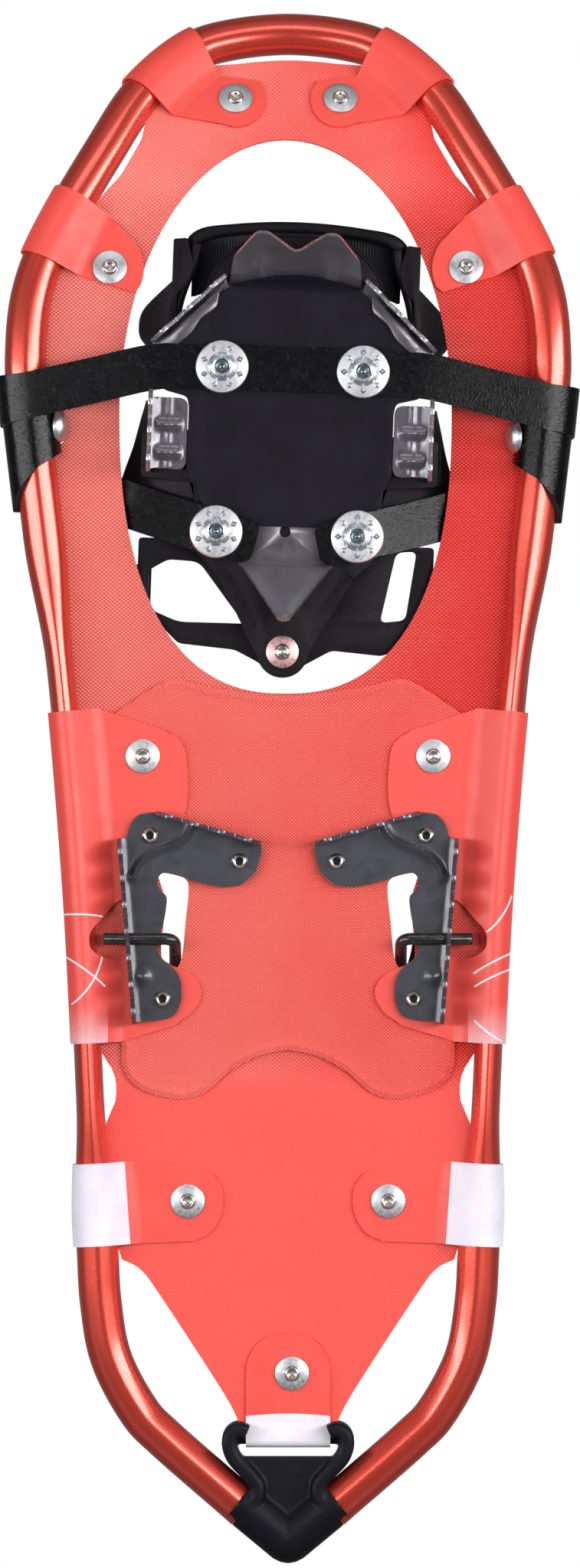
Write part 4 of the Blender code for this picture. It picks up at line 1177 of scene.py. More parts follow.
def make_deck_rivets():
    spots = {}
    for name, (x, y) in DECK_RIVETS.items():
        for side, word in pairs():
            spots[f"{name}_rivet_{word}"] = ((side * x, flat_y(y)), TABS[name][3][0])
    spots["tail_rivet"] = (TAIL_RIVET, UNDER_DECK[0])
    for name, ((x, y), seat) in spots.items():
        base = (x, y, seat - 0.05 + relief(x, y))
        disc, rivet = rivet_meshes(DECK_WASHER)
        piece(name + "_washer", disc, washer_alloy, "frame", name, centre=base, sharp=30)
        piece(name + "_head", rivet, rivet_metal, "frame", (), centre=base, sharp=40)
        high = DECK[1] + 0.05 + relief(x, y)
        top = [(0, 1.35), (1.5, 1.3), (2.5, 1.0), (3.05, 0.45), (3.2, 0.0), (0, 0.0)]
        piece(name + "_top", lathe(top), rivet_metal, "frame", (), centre=(x, y, high),
              sharp=40)


def make_heel_rivets():
    for word, (x, y) in HEEL_RIVETS.items():
        for side, hand in pairs():
            name = f"heel_rivet_{word}_{hand}"
            base = (side * x, y, HEEL_PLATE[0])
            ring = [(0, 0.1), (1.25, 0.1), (1.3, -1.3), (1.5, -1.65), (2.0, -1.75), (2.5, -1.45),
                    (2.85, -0.8), (2.95, -0.1), (2.6, 0.2), (0, 0.2)]
            piece(name + "_ring", lathe(ring), rivet_metal, "frame", name, centre=base,
                  sharp=40)
            # painted shade: a flat dark hex plug stands in for the shade inside the rivet's bore
            shade_plug = [(0, -0.35), (0.8, -0.35), (1.2, -0.5), (1.2, 0.05), (0, 0.05)]
            piece(name + "_core", lathe(shade_plug, sides=6), hole_shade, "frame", (),
                  centre=base)
            top = [(0, 1.2), (1.4, 1.15), (2.6, 0.85), (3.2, 0.4), (3.4, 0.0), (0, 0.0)]
            piece(name + "_top", lathe(top), rivet_metal, "frame", (),
                  centre=(side * x, y, DECK[1] + 0.05), sharp=40)


# ---------------------------------------------------------------- heel
def blade(start, end, top, root, teeth, thick=1.5, tip=1.2, scoop=0.4):
    """Upright blade between two plan places, with long teeth that come down to height tip."""
    run = Vector((end[0] - start[0], end[1] - start[1], 0))
    length = run.length
    pitch = length / teeth
    points = [(length, top), (0, top), (0, root)]
    for k in range(teeth):
        middle = pitch * (k + 0.5)
        points += [(middle - pitch * 0.12, tip), (middle + pitch * 0.12, tip)]
        if k < teeth - 1:
            points.append((pitch * (k + 1), root + scoop))
    points.append((length, root))
    outline = rounded(points, [1.5, 1.5, 0.8] + [0.5] * (len(points) - 4) + [0.8], 3)
    mesh = plate(outline, -thick / 2, thick / 2)
    return placed(mesh, (start[0], start[1], 0), run, (0, 0, 1))


HEEL_OUTLINE = [(60.6, -19.5), (55.4, -85.0), (45.5, -84.2), (40.6, -82.8), (38.1, -77.5),
                (38.2, -70.0),
                (40.6, -65.6), (44.8, -62.6), (47.1, -59), (46.2, -54), (44.4, -49), (43.6, -44),
                (43.2, -39.6),
                (46.4, -37.2), (47.0, -34), (45.2, -31.2), (40, -32.2), (33, -34.6), (23.6, -36.6),
                (17, -36.0),
                (11.6, -31.5), (9.4, -24), (9.4, -20.6), (46.8, -9.6), (53.5, -10.4), (56.6, -14.0),
                (57.6, -18.8)]
HEEL_RIB = [(55.6, -32.6), (53.6, -28.6), (50.4, -25.4), (46.2, -23.0), (41.0, -21.2), (37.2, -19.0),
            (34.8, -15.8), (33.4, -12.2)]


def make_heel_crampons():
    rib = [(p.x, p.y) for p in curve_through(HEEL_RIB, 6)]
    near = kdtree.KDTree(len(rib))
    for i, p in enumerate(rib):
        near.insert((p[0], p[1], 0), i)
    near.balance()
    extra = []
    for i in range(1, len(rib) - 1):
        run = (Vector(rib[i + 1]) - Vector(rib[i - 1])).normalized()
        for off in (-2.6, -1.9, -1.2, -0.6, 0, 0.6, 1.2, 1.9, 2.6):
            spot = Vector(rib[i]) + Vector((-run.y, run.x)) * off
            extra.append((spot.x, spot.y))
    outline = rounded(HEEL_OUTLINE, 2.2, 3)
    extra = [p for p in extra if inside(p, outline)]

    def lift(x, y):
        off = near.find((x, y, 0))[2]
        dimple = math.exp(-(((x - 51.9) ** 2 + (y + 68.6) ** 2) / 4.0))
        bend = smooth_step(x - (55.4 + (y + 85) * 0.0794), -2.6, 0.4) * 1.0
        return -1.5 * math.exp(-(off / 1.1) ** 2) - 1.1 * dimple - bend * 0.9
    paint = (painted_steel, painted_edge_highlight)
    body = cut_plate(plate(outline, *HEEL_PLATE, grid=1.6, extra=extra, lift=lift), paint, 0.35)
    outer = blade((60.3, -19.0), (54.9, -85.6), HEEL_PLATE[1] - 0.3, 16.5, 7, 1.5, 11.6)
    front = blade((47.2, -9.9), (9.6, -20.9), HEEL_PLATE[1] - 0.3, 17.0, 4, 1.5, 12.6)
    # painted highlight: the blades' downward faces, the tooth tips, take the lighter edge look
    outer, front = [two_looks(bevelled(mesh, 0.35), paint, lambda polygon: polygon.normal.z < -0.1)
                    for mesh in (outer, front)]
    for side, word in pairs():
        for name, mesh, stands in (("plate", body, f"heel_crampon_{word}"), ("outer_blade", outer, ()),
                                   ("front_blade", front, ())):
            own = mirrored(mesh) if side < 0 else mesh.copy()
            piece(f"heel_crampon_{name}_{word}", own, painted_steel, "frame", stands,
                  sharp=38)


def make_heel_pad():
    half = [(34.5, -36), (34.5, -78), (26, -85), (0, -85)]
    outline = [(26, -22)] + half + [(-x, y) for x, y in half[-2::-1]] + [(-26, -22)]
    x, y = HEEL_RIVETS["inner"]
    holes = [circle((side * x, y), 3.7) for side in (1, -1)]

    def groove(px, py):
        return -0.7 * math.exp(-(((py + 22) % 9.0 - 4.5) / 0.9) ** 2) * window(px, -31, -28, 28, 31)
    mesh = plate(rounded(outline, 3.0), *HEEL_PAD, holes, grid=1.5)
    for vert in mesh.vertices:
        if vert.co.z > sum(HEEL_PAD) / 2:
            vert.co.z += groove(vert.co.x, vert.co.y)
    piece("heel_pad_foam", mesh, heel_foam, "frame", "heel_pad", sharp=40)


def round_corners(points, radius, steps=4):
    """Replace each inner corner of a path by an arc-like run of points."""
    pts = [Vector(p) for p in points]
    path = [pts[0]]
    for a, b, c in zip(pts, pts[1:], pts[2:]):
        into = b + (a - b).normalized() * radius
        out = b + (c - b).normalized() * radius
        for k in range(steps + 1):
            t = k / steps
            path.append(into * (1 - t) ** 2 + b * 2 * t * (1 - t) + out * t * t)
    return path + [pts[-1]]


def make_bail():
    """Wire heel lift, lying back on the deck, with domed ends."""
    y, z = BAIL_AXIS.y, BAIL_AXIS.z
    top = DECK[1] + GAP + WIRE + 0.4
    half = [(66.0, y, z), (40.4, y, z), (40.4, y - 8.2, top), (40.4, y - 36, top)]
    points = half + [(-p[0], p[1], p[2]) for p in half[::-1]]
    path = round_corners(points, 4.0, 8)
    ends = [path[0] + Vector((d, 0, 0)) for d in (0.0, -0.25, -0.6)]
    path = ends + path[1:-1] + [path[-1] + Vector((d, 0, 0)) for d in (0.6, 0.25, 0.0)]

    def section(i):
        edge = min(i, len(path) - 1 - i)
        return tube_section(*[WIRE * (0.72, 0.93, 1.0)[min(edge, 2)]] * 2, sides=20)
    piece("heel_lift_wire", sweep(path, section), black_wire, "heel_lift", "heel_lift_bail")


# ---------------------------------------------------------------- suspension strap
tube_table = {side: tube_place(side, 80.0, 170.0, 361) for side in (1, -1)}
WRAP_START = {1: 139.3, -1: 135.3}
# turn about the tube in degrees, shift along Y from the start, half width
WRAP_ROUTE = [(0, 0.0, 8.15), (90, -1.0, 8.5), (180, -4.5, 8.2), (270, -12.8, 8.3), (300, -14.0, 7.8),
              (360, -17.1, 9.1), (450, -25.2, 15.0), (540, -31.0, 10.0), (590, -32.0, 8.15)]


def round_tube(side, y, turn, off):
    """A point off mm outside the tube's skin. turn runs from below (0) outwards, over the top and
    inwards."""
    centre, inward = min(tube_table[side], key=lambda row: abs(row[0].y - y))
    half_width, half_height = tube_half(centre.y)
    angle = math.radians(-90 + turn)
    spot = centre - inward * (half_width + off) * math.cos(angle)
    return Vector((spot.x, spot.y + (y - centre.y), TUBE_Z + (half_height + off) * math.sin(angle)))


def strap_faces(mesh, rows, cols):
    """Strap's edge look on the rim of a shell, whose faces come after those of its two sides."""
    inner = 2 * (rows - 1) * (cols - 1)
    return two_looks(mesh, (gloss_black, strap_edge), lambda polygon: polygon.index >= inner)


def make_suspension():
    """One band on each side: from the front bolt out, one and a half turns round the frame and back
    over the deck to the rear bolt."""
    middle = sum(STRAP) / 2
    thick = 2.2
    half = 8.15
    cols = 9
    for side, word in pairs():
        def binding(x, y, z):
            return turned((side * x, y, z))
        start_y = WRAP_START[side]
        touch = round_tube(side, start_y, 0, GAP + thick / 2 + 1.0)
        bend = binding(50, 147.5, middle)
        first = binding(25.2, 148.5, middle)
        line = curve_through([first, first + (bend - first) * 0.55, bend, bend + (touch - bend) * 0.5,
                              touch], 9)
        rows = []
        for i, p in enumerate(line[:-2]):
            run = line[i + 1] - line[max(i - 1, 0)]
            across = Vector((-run.y, run.x, 0)).normalized() * side
            rows.append((p + across * half, p - across * half))
        for turn in range(0, 596, 9):
            y = start_y + read_stops(turn, [stop[:2] for stop in WRAP_ROUTE])
            wide = read_stops(turn, [(stop[0], stop[2]) for stop in WRAP_ROUTE])
            lift = GAP + thick / 2 + 1.0 * (1 - smooth_step(turn, 120, 240))
            rows.append((round_tube(side, y + wide, turn, lift),
                         round_tube(side, y - wide, turn, lift)))
        last = (rows[-1][0] + rows[-1][1]) / 2
        back = [last, binding(72, 104.0, OVER_DECK + 0.2), binding(61, 99.8, OVER_DECK),
                binding(54, 97.4, 28.8),
                binding(44, 94.4, 23.2), binding(34.5, 91.7, 17.3), binding(29.0, 90.2, 15.1),
                binding(24.0, 88.9, middle), binding(11.0, 85.8, middle)]
        line = curve_through(back, 8)
        for i, p in enumerate(line[3:], 3):
            run = line[min(i + 1, len(line) - 1)] - line[i - 1]
            across = Vector((-run.y, run.x, 0)).normalized() * -side
            left = (p - line[-1]).length
            wide = half - 3.2 * (1 - math.sqrt(max(0.0, 1 - max(0.0, 1 - left / 3.2) ** 2)))
            rows.append((p + across * wide, p - across * wide))
        smooth = []
        for i, (a, b) in enumerate(rows):
            c, d = rows[max(i - 1, 0)], rows[min(i + 1, len(rows) - 1)]
            smooth.append(((a * 2 + c[0] + d[0]) / 4, (b * 2 + c[1] + d[1]) / 4) if 0 < i < len(rows)
                          - 1 else (a, b))
        grid = [[a + (b - a) * k / (cols - 1) for k in range(cols)] for a, b in smooth]
        mesh = shell(grid, thick)
        strap_faces(mesh, len(grid), cols)
        item = piece(f"suspension_{word}", mesh, gloss_black, "frame",
                     (f"strap_front_{word}", f"strap_rear_{word}", f"strap_cuff_{word}"),
                     place=Vector, sharp=50, ride=False)
        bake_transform(item)
        rivet = [(0, 0.0), (5.85, 0.0), (5.75, 0.8), (5.1, 2.0), (3.6, 3.0), (1.8, 3.4), (0, 3.5)]
        spot = round_tube(side, start_y - 11.9, 280, GAP + thick + 0.1)
        piece(f"band_rivet_{word}", lathe(rivet, (-side, 0, -0.35)), washer_alloy, "frame",
              f"cuff_rivet_{word}", Vector, spot, 40)
    grid = [[Vector((25.4 - 50.8 * i / 24, 148.5 - half + 2 * half * k / (cols - 1), middle))
             for k in range(cols)]
            for i in range(25)]
    mesh = shell(grid, thick)
    strap_faces(mesh, len(grid), cols)
    piece("suspension_middle", mesh, gloss_black, "binding", "strap_front",
          place=turned, sharp=50)


def make_bolts():
    """Each bolt: a dished traction washer with eight studs, a collar and a socket."""
    seat = STRAP[0] - 0.1
    disc = [(0, 0.0), (9.5, 0.0), (9.5, -0.75), (9.2, -1.15), (8.8, -1.25), (5.2, -1.05), (0, -1.05)]
    collar = [(0, -2.4), (2.35, -2.4), (2.45, -4.6), (2.7, -5.05), (3.4, -5.25), (4.0, -5.05),
              (4.3, -4.5), (4.4, -2.2), (4.75, -1.5), (5.2, -1.06), (4.0, -0.9), (0, -0.9)]
    socket = [(0, -4.35), (1.1, -4.2), (1.75, -4.55), (2.3, -4.6), (2.3, -2.3), (0, -2.3)]
    for end, (x, y) in BOLTS.items():
        for side, word in pairs():
            name = f"bolt_{end}_{word}"
            centre = (side * x, y, seat)
            studs = []
            for k in range(8):
                turn = 2 * math.pi * (k + 0.5 * (side > 0)) / 8
                out = Vector((math.cos(turn), math.sin(turn), 0))
                across = Vector((-out.y, out.x, 0))
                middle = out * 6.9
                ring = [middle + out * 1.5 + Vector((0, 0, -1.0)),
                        middle + across * 1.35 + Vector((0, 0, -1.0)),
                        middle - out * 1.5 + Vector((0, 0, -1.0)),
                        middle - across * 1.35 + Vector((0, 0, -1.0))]
                top = [middle + (p - middle) * 0.2 for p in ring]
                for p in top:
                    p.z = -2.1
                studs.append(loft([ring, top]))
            mesh = joined([lathe(disc, sides=56)] + studs)
            piece(name + "_washer", mesh, washer_alloy, "binding", name, turned, centre,
                  25)
            piece(name + "_collar", lathe(collar, sides=40), bolt_alloy, "binding", (),
                  turned, centre, 40)
            piece(name + "_socket", lathe(socket, sides=6), socket_steel, "binding", (),
                  turned, centre, 25)


# ---------------------------------------------------------------- binding, underside
def make_toe_crampon():
    """Plate with teeth bent down in front, behind and at the sides, and pressed flanges beside them."""
    steel = (crampon_steel, crampon_edge_highlight)
    half = [(24, 178), (25, 181.0), (50.6, 157), (47.5, 150), (38, 146), (36.2, 138), (35.8, 112),
            (28, 95), (16.3, 77.8)]
    outline = half + [(-x, y) for x, y in half[::-1]]
    radii = [0.5, 1, 1, 3, 3, 1, 3, 5, 0.5]
    body = plate(rounded(outline, radii + radii[::-1], 4), *STEEL, [circle((0.6, 90.5), 1.9, 20)])
    piece("toe_crampon_plate", cut_plate(bevelled(body, 0.25), steel), steel, "binding", "toe_crampon",
          turned, sharp=38)
    middle = sum(STEEL) / 2
    front = [(-23.9, -0.6), (23.9, -0.6), (22.6, 13.4), (14.6, 26.2), (10.4, 26.4), (0.2, 16.8),
             (-10.4, 26.4), (-14.6, 26.2), (-22.6, 13.4)]
    outline = rounded(front, [0.5, 0.5, 3, 2.2, 2.2, 2.5, 2.2, 2.2, 3], 5)

    def gusset(x, y):
        ribs = sum(math.exp(-((x - at) / 2.3) ** 2) for at in (-11.5, 11.5))
        beads = -1.15 * ribs * window(y, -4, 0, 9, 20)
        return beads - 0.5 * window(abs(x), 14, 19, 30, 31) * window(y, 0, 2, 7, 12)
    flap = plate(outline, -0.75, 0.75, grid=1.2, lift=gusset)
    flap = cut_plate(flap, steel, 0.35)
    down = (0, 16.6, -middle + 1.9)
    piece("toe_crampon_front_teeth", placed(flap, (0, 178.4, middle - 0.3), (1, 0, 0), down), steel,
          "binding", (), turned, sharp=38)
    rear = [(-16.8, -1), (16.8, -1), (1.7, 26.9), (-1.7, 26.9)]

    def dish(x, y):
        reach = 1 - (y + 1) / 28
        depth = min(1 - abs(x) / (16.8 * reach + 0.01), (y + 1) / 28 * 3)
        return 0.9 * smooth_step(depth, 0.0, 0.35)
    tooth = plate(rounded(rear, [2.5, 2.5, 1.2, 1.2], 4), -0.75, 0.75, grid=1.0, lift=dish)
    down = (0, -19.5, -middle + 1.9)
    piece("toe_crampon_rear_tooth", placed(cut_plate(tooth, (tooth_steel, crampon_edge_highlight), 0.35),
                                           (0, 78.6, middle - 0.3), (1, 0, 0), down), steel, "binding",
          (), turned, sharp=38)
    for side, word in pairs():
        blades = [blade((side * 24.9, 181.4), (side * 50.6, 156.6), middle - 0.2, 12.5, 3, 1.5, 7.6,
                        1.5),
                  blade((side * 50.3, 139.8), (side * 50.3, 110.0), middle - 0.2, 12.5, 3, 1.5, 8.1,
                        1.5)]
        for name, mesh in zip(("diagonal", "side"), blades):
            # painted highlight: the blades' top and bottom edges take the lighter edge look
            mesh = two_looks(bevelled(mesh, 0.35), steel, lambda polygon: abs(polygon.normal.z) > 0.1)
            piece(f"toe_crampon_{name}_blade_{word}", mesh, steel, "binding", (), turned,
                  sharp=38)
        inner = [(27.2, 176.2), (45.2, 158.6), (42.6, 155.2), (36.6, 160.2), (33.4, 165.8),
                 (27.8, 169.8)]
        flange = bevelled(plate(rounded([(side * x, y) for x, y in inner], 1.6, 3), 14.4, 15.9), 0.3)
        piece(f"toe_crampon_flange_{word}", cut_plate(flange, steel), steel, "binding", (),
              turned, sharp=38)
        lobe = rounded([(side * x, y)
                        for x, y in [(36.9, 137.0), (50.4, 137.0), (50.4, 111.4), (36.9, 111.4)]],
                       [3.5, 1, 1, 3.5], 5)

        def pressed(x, y):
            ribs = sum(math.exp(-((y - at) / 1.7) ** 2) for at in (127.4, 117.4)) * window(abs(x), 38.2,
                                                                                           40, 47.5, 49)
            fold = smooth_step(abs(x), 46.5, 50.4)
            lines = math.exp(-((abs(x) - 43.4) / 0.8) ** 2) * 0.35
            return -1.3 * ribs - 1.6 * fold - lines
        wing = plate(lobe, STEEL[0] - 1.9, STEEL[0] - 0.4, grid=0.9, lift=pressed)
        piece(f"toe_crampon_side_{word}", cut_plate(wing, steel, 0.35), steel, "binding", (),
              turned, sharp=38)


def make_anti_ball_plate():
    half = [(0, 182.2), (8, 181.6), (17, 179.8), (25.0, 176.4), (46.2, 153), (47.4, 148), (47.4, 142),
            (45.5, 139.6), (37.4, 137.6), (36.6, 134), (36.6, 112), (28.6, 96), (24.5, 92.4), (0, 92.2)]
    outline = rounded(half[::-1] + [(-x, y) for x, y in half[1:-1]], 1.4, 4)

    def lift(x, y):
        front = max(0.0, y - 177.8)
        panel = 0.35 * window(y, 90, 94, 170, 176) * (1 - smooth_step(abs(x), 30, 35))
        return panel - 0.9 * front
    mesh = plate(outline, *ANTI_BALL, grid=2.2, lift=lift)
    piece("anti_ball_moulding", bevelled_rim(mesh), navy_black, "binding", "anti_ball_plate",
          turned, sharp=40)


def bevelled_rim(mesh, width=0.45):
    """Round the outer edges of a dense plate without joining its triangles."""
    return modified(mesh, ("BEVEL", {"width": width, "segments": 2, "limit_method": "ANGLE",
                                     "angle_limit": math.radians(60)}))


# ---------------------------------------------------------------- binding, upper side
def make_binding_base():
    half = [(0, 196.5), (10, 196.2), (18, 193.8), (25.5, 188), (30, 181), (31.5, 174), (32.5, 168),
            (38, 164), (44, 161),
            (44, 156.5), (34, 155), (34, 126), (53, 125), (53, 108.5), (34, 107), (32, 82), (24, 74)]
    boss = circle(YOKE_AXIS, 9.2, 32)[16:]
    outline = half + boss[::-1] + [(-x, y) for x, y in half[:0:-1]]
    body = plate(rounded(outline, 1.2, 2), *BASE)
    recess = []
    for side in (1, -1):
        recess.append(plate(rounded([(side * 28, 73), (side * 15, 54), (side * 9, 57), (side * 21, 77)],
                                    2.0, 3),
                            BASE[0] - 1, BASE[0] + 1.1))
        recess.append(plate(rounded([(side * 29, 100), (side * 6, 100), (side * 6, 168),
                                     (side * 29, 168)], 4.0, 4),
                            BASE[1] - 1.2, BASE[1] + 1))
    recess.append(plate(rounded([(3.4, 100), (-3.4, 100), (-3.4, 168), (3.4, 168)], 2.0, 4),
                        BASE[1] - 1.2, BASE[1] + 1))
    body = boolean(body, recess, "DIFFERENCE")
    piece("base_moulding", bevelled(body, 0.7, 3), charcoal, "binding", "binding_base",
          turned, sharp=40)
    lip = [(x, y, BASE[0] + 2.0) for x, y in half[1:6]]
    lip = curve_through([Vector(p) for p in lip[::-1]] + [Vector((0, 196.5, BASE[0] + 2.0))]
                        + [Vector((-p[0], p[1], p[2])) for p in lip], 6)
    piece("base_front_lip", sweep(lip, tube_section(0.9, 2.4, 14), up=(0, 0, 1)), charcoal, "binding",
          (), turned)


LOBE_ROWS = [
    # place along Y, inner and outer place across, inner and outer height
    (136.0, 49.6, 51.0, 24.0, 30.5), (128.0, 46.0, 53.2, 23.4, 34.0), (119.0, 40.0, 55.6, 23.2, 38.0),
    (110.0, 36.0, 58.6, 23.2, 40.0), (101.0, 33.0, 61.0, 23.4, 41.0), (93.0, 32.0, 61.5, 25.0, 41.0)]


def make_side_lobes():
    """Side walls at the middle of the base, which lean outwards and widen towards the heel."""
    for side, word in pairs():
        low = curve_through([Vector((x, y, z)) for y, x, _, z, _ in LOBE_ROWS], 4)
        high = curve_through([Vector((x, y, z)) for y, _, x, _, z in LOBE_ROWS], 4)
        grid = []
        for a, b in zip(low, high):
            line = [a + (b - a) * k / 12 + Vector((0, 0, -1.6 * math.sin(math.pi * k / 12)))
                    for k in range(13)]
            grid.append([Vector((side * p.x, p.y, p.z)) for p in line])
        piece(f"base_lobe_{word}", shell(grid, 2.2), charcoal, "binding", (), turned,
              sharp=50)


WING_ROWS = [
    # place along Y, foot across, top across, top height
    (155.0, 42.6, 50.0, 44.0), (158.5, 42.4, 55.0, 60.0), (164.0, 42.2, 56.0, 68.0),
             (170.0, 41.8, 54.6, 70.0),
    (176.0, 40.4, 48.4, 63.0), (182.0, 38.4, 41.4, 54.0), (188.0, 36.6, 37.2, 45.0),
             (193.5, 35.8, 36.0, 40.0)]


def make_wings():
    """Side walls of the toe piece: tall lobes that flare outwards from the base."""
    rows = curve_through([Vector((y, foot, top)) for y, foot, top, _ in WING_ROWS], 3)
    heights = curve_through([Vector((y, h)) for y, _, _, h in WING_ROWS], 3)
    for side, word in pairs():
        grid = []
        for row, height in zip(rows, heights):
            line = []
            for k in range(10):
                t = k / 9
                x = row.y + (row.z - row.y) * t ** 1.8
                line.append(Vector((side * x, row.x, BASE[1] + 0.8 + (height.y - BASE[1]) * t)))
            grid.append(line)
        mesh = modified(shell(grid, 3.4), ("SUBSURF", {"levels": 2, "render_levels": 2}))
        piece(f"toe_wing_{word}", mesh, charcoal, "binding", f"binding_wing_{word}",
              turned, sharp=60)
        foot = [(39, 159), (45.5, 156), (45.4, 167), (44.4, 175), (44.4, 194.5), (39.5, 195), (37, 186),
                (38.5, 179), (42.4, 175), (42.4, 168), (40, 164)]
        foot = [(side * x, y) for x, y in foot]
        mesh = bevelled(plate(rounded(foot, 0.8, 3), BASE[1] + 0.2, BASE[1] + 3.6), 0.8, 3)
        piece(f"toe_wing_foot_{word}", mesh, charcoal, "binding", (), turned,
              sharp=45)


def make_toe_band():
    """Thick band round the toe, and the ribbed rubber apron inside it."""
    z = BASE[1] + 11.0
    half = [(38.6, 186.0, z + 1), (37.6, 192.6, z + 0.6), (33.4, 196.6, z), (24, 198.6, z),
            (12, 199.8, z), (0, 200.2, z)]
    points = half + [(-x, y, h) for x, y, h in half[-2::-1]]
    path = curve_through(points, 5)

    def section(i):
        share = abs(i / (len(path) - 1) - 0.5) * 2
        swell = 1.0 + 0.35 * smooth_step(share, 0.35, 0.75) - 0.35 * smooth_step(share, 0.86, 1.0)
        return ribbon_section(2.1 * swell, 15.0 - 3.0 * share ** 3, 1.6)
    piece("toe_band_moulding", sweep(path, section, up=(0, 0, 1)), rubber, "binding", "toe_band",
          turned, sharp=50)
    pitch = 1.08
    steps = 4
    count = int(74 / pitch * steps)
    grid = []
    for i in range(count + 1):
        x = -37 + i * pitch / steps
        ridge = 0.62 * (0.5 + 0.5 * math.cos(2 * math.pi * i / steps))
        outer = 200.0 - 0.0020 * x * x - 1.4e-6 * x ** 4
        inner = outer - 8.5 - 11.5 * smooth_step(abs(x), 10, 26)
        line = []
        for k in range(9):
            t = k / 8
            line.append(Vector((x, inner + (outer - inner) * t,
                                z - 2.0 + 4.5 * (1 - t) ** 1.5 - ridge)))
        grid.append(line)
    piece("toe_apron_ribbed", shell(grid, 1.6), ribbed_rubber, "binding", (), turned,
          sharp=25)


def arch(angle, lift=0.0):
    """A place on the arch over the boot, at an angle from +X, lift mm off it."""
    turn = math.radians(angle)
    return Vector(((ARCH_HALF + lift) * math.cos(turn), ARCH_Y,
                   ARCH_Z + (ARCH_HEIGHT + lift) * math.sin(turn)))


def arch_sweep(low, high, lift, section, steps):
    """Run a section of (across the strap, off the boot) along the arch between two angles."""
    path = [arch(low + (high - low) * k / steps, lift) for k in range(steps + 1)]

    def across(i):
        share = i / steps
        shape = section(share) if callable(section) else section
        return [(b, a) for a, b in shape]
    return sweep(path, across, up=(0, 1, 0))


def buckle_directions():
    """Where the buckle meets the ladder strap, the way along the strap, and the way off the boot."""
    middle = arch(BUCKLE_ANGLE, LADDER_LIFT)
    along = arch(BUCKLE_ANGLE + 1, LADDER_LIFT) - arch(BUCKLE_ANGLE - 1, LADDER_LIFT)
    along.normalize()
    off = along.cross(Vector((0, 1, 0))).normalized()
    return middle, along, off if off.z > 0 else -off


def lever_pivot():
    """Middle of the pin that the ratchet lever turns on."""
    middle, along, off = buckle_directions()
    return middle + off * 9.2 - along * 12


def make_instep():
    """Padded tongue over the instep, ladder strap, ratchet buckle and its lever."""
    def crowned(share):
        end = math.sqrt(max(0.02, 1 - (abs(share - 0.5) * 2) ** 10))
        seam = 1 - 0.30 * sum(math.exp(-((share - at) / 0.012) ** 2) for at in (0.2, 0.4, 0.6, 0.8))
        half_width, half_thick = 8.0 * end, 1.85 * seam
        ring = []
        for k in range(24):
            a = 2 * math.pi * k / 24
            c, s = math.cos(a), math.sin(a)
            channel = 1 - 0.22 * math.exp(-((abs(c) - 0.72) / 0.07) ** 2)
            ring.append((half_width * math.copysign(abs(c) ** 0.6, c),
                         half_thick * channel * math.copysign(abs(s) ** 0.7, s)))
        return ring
    pad = piece("instep_pad_foam", arch_sweep(0.6, 108, 0, crowned, 110), instep_foam, "binding",
                "instep_pad", turned, sharp=70)

    def ladder(share):
        tooth = 0.55 * (0.5 + 0.5 * math.cos(2 * math.pi * share * 44)) * window(share, 0.03, 0.06,
                                                                                 0.94, 0.97)
        edge = ribbon_section(7.4, 2.0, 0.6)
        return [(x, z + (tooth if z > 0 and abs(x) < 6.4 else 0)) for x, z in edge]
    piece("ladder_strap_toothed", arch_sweep(58, 179.0, LADDER_LIFT, ladder, 352), rubber, "binding",
          "ladder_strap", turned, sharp=30)
    middle, along, off = buckle_directions()
    y_axis = Vector((0, 1, 0))
    bars = [(-15, 15, 8.0, 12.0, -1.7, 4.2), (-15, 15, -12.0, -8.0, -1.7, 4.2),
            (-15, 15, -12.0, 12.0, -1.7, -1.15),
            (-15, -5, -11.8, 11.8, 1.8, 4.0), (9, 15, -11.8, 11.8, 1.8, 4.0)]
    body = []
    for first, last, left, right, under, over in bars:
        edge = rounded([(left, under), (right, under), (right, over), (left, over)],
                       min(0.8, (over - under) * 0.4), 3)
        body.append(arch_sweep(BUCKLE_ANGLE + first, BUCKLE_ANGLE + last, LADDER_LIFT, edge,
                               3 * (last - first)))
    piece("buckle_body", joined(body), charcoal, "binding", "ratchet_buckle", turned,
          sharp=45)
    cheeks = []
    for way in (1, -1):
        cheek = plate(rounded([(-14, -7.4), (-9, 3.2), (-4, 3.0), (6, -6.2)], 1.5, 4), -1.0, 1.0)
        cheeks.append(placed(cheek, middle + off * 8.8 + y_axis * way * 11.2, along, off))
    piece("buckle_cheeks", bevelled(joined(cheeks), 0.4, 2), charcoal, "binding", (),
          turned, sharp=45)
    pivot = lever_pivot()
    pin = sweep([pivot + y_axis * 12.0 * k for k in (-1, 0, 1)], tube_section(1.1, 1.1, 20), up=off)
    piece("buckle_pin", pin, rivet_metal, "binding", (), turned)
    outline = rounded([(-1.2, -9.6), (30, -7.8), (34, 0), (30, 7.8), (-1.2, 9.6)], [1, 3, 5, 3, 1], 5)

    def paddle(x, y):
        grip = 0.35 * math.cos(x * 1.9) * window(x, 17, 19, 30, 32)
        return 0.5 * (y / 8) ** 2 + max(grip, 0.0) - max(x, 0.0) ** 2 / 124
    lever = plate(outline, -1.6, 1.0, grid=1.2, lift=paddle)
    way = Matrix((along, y_axis, off)).transposed()
    for vert in lever.vertices:
        vert.co = pivot + way @ vert.co
    piece("buckle_lever", bevelled_rim(lever, 0.4), charcoal, "ratchet_lever", "ratchet_lever",
          turned, sharp=45)


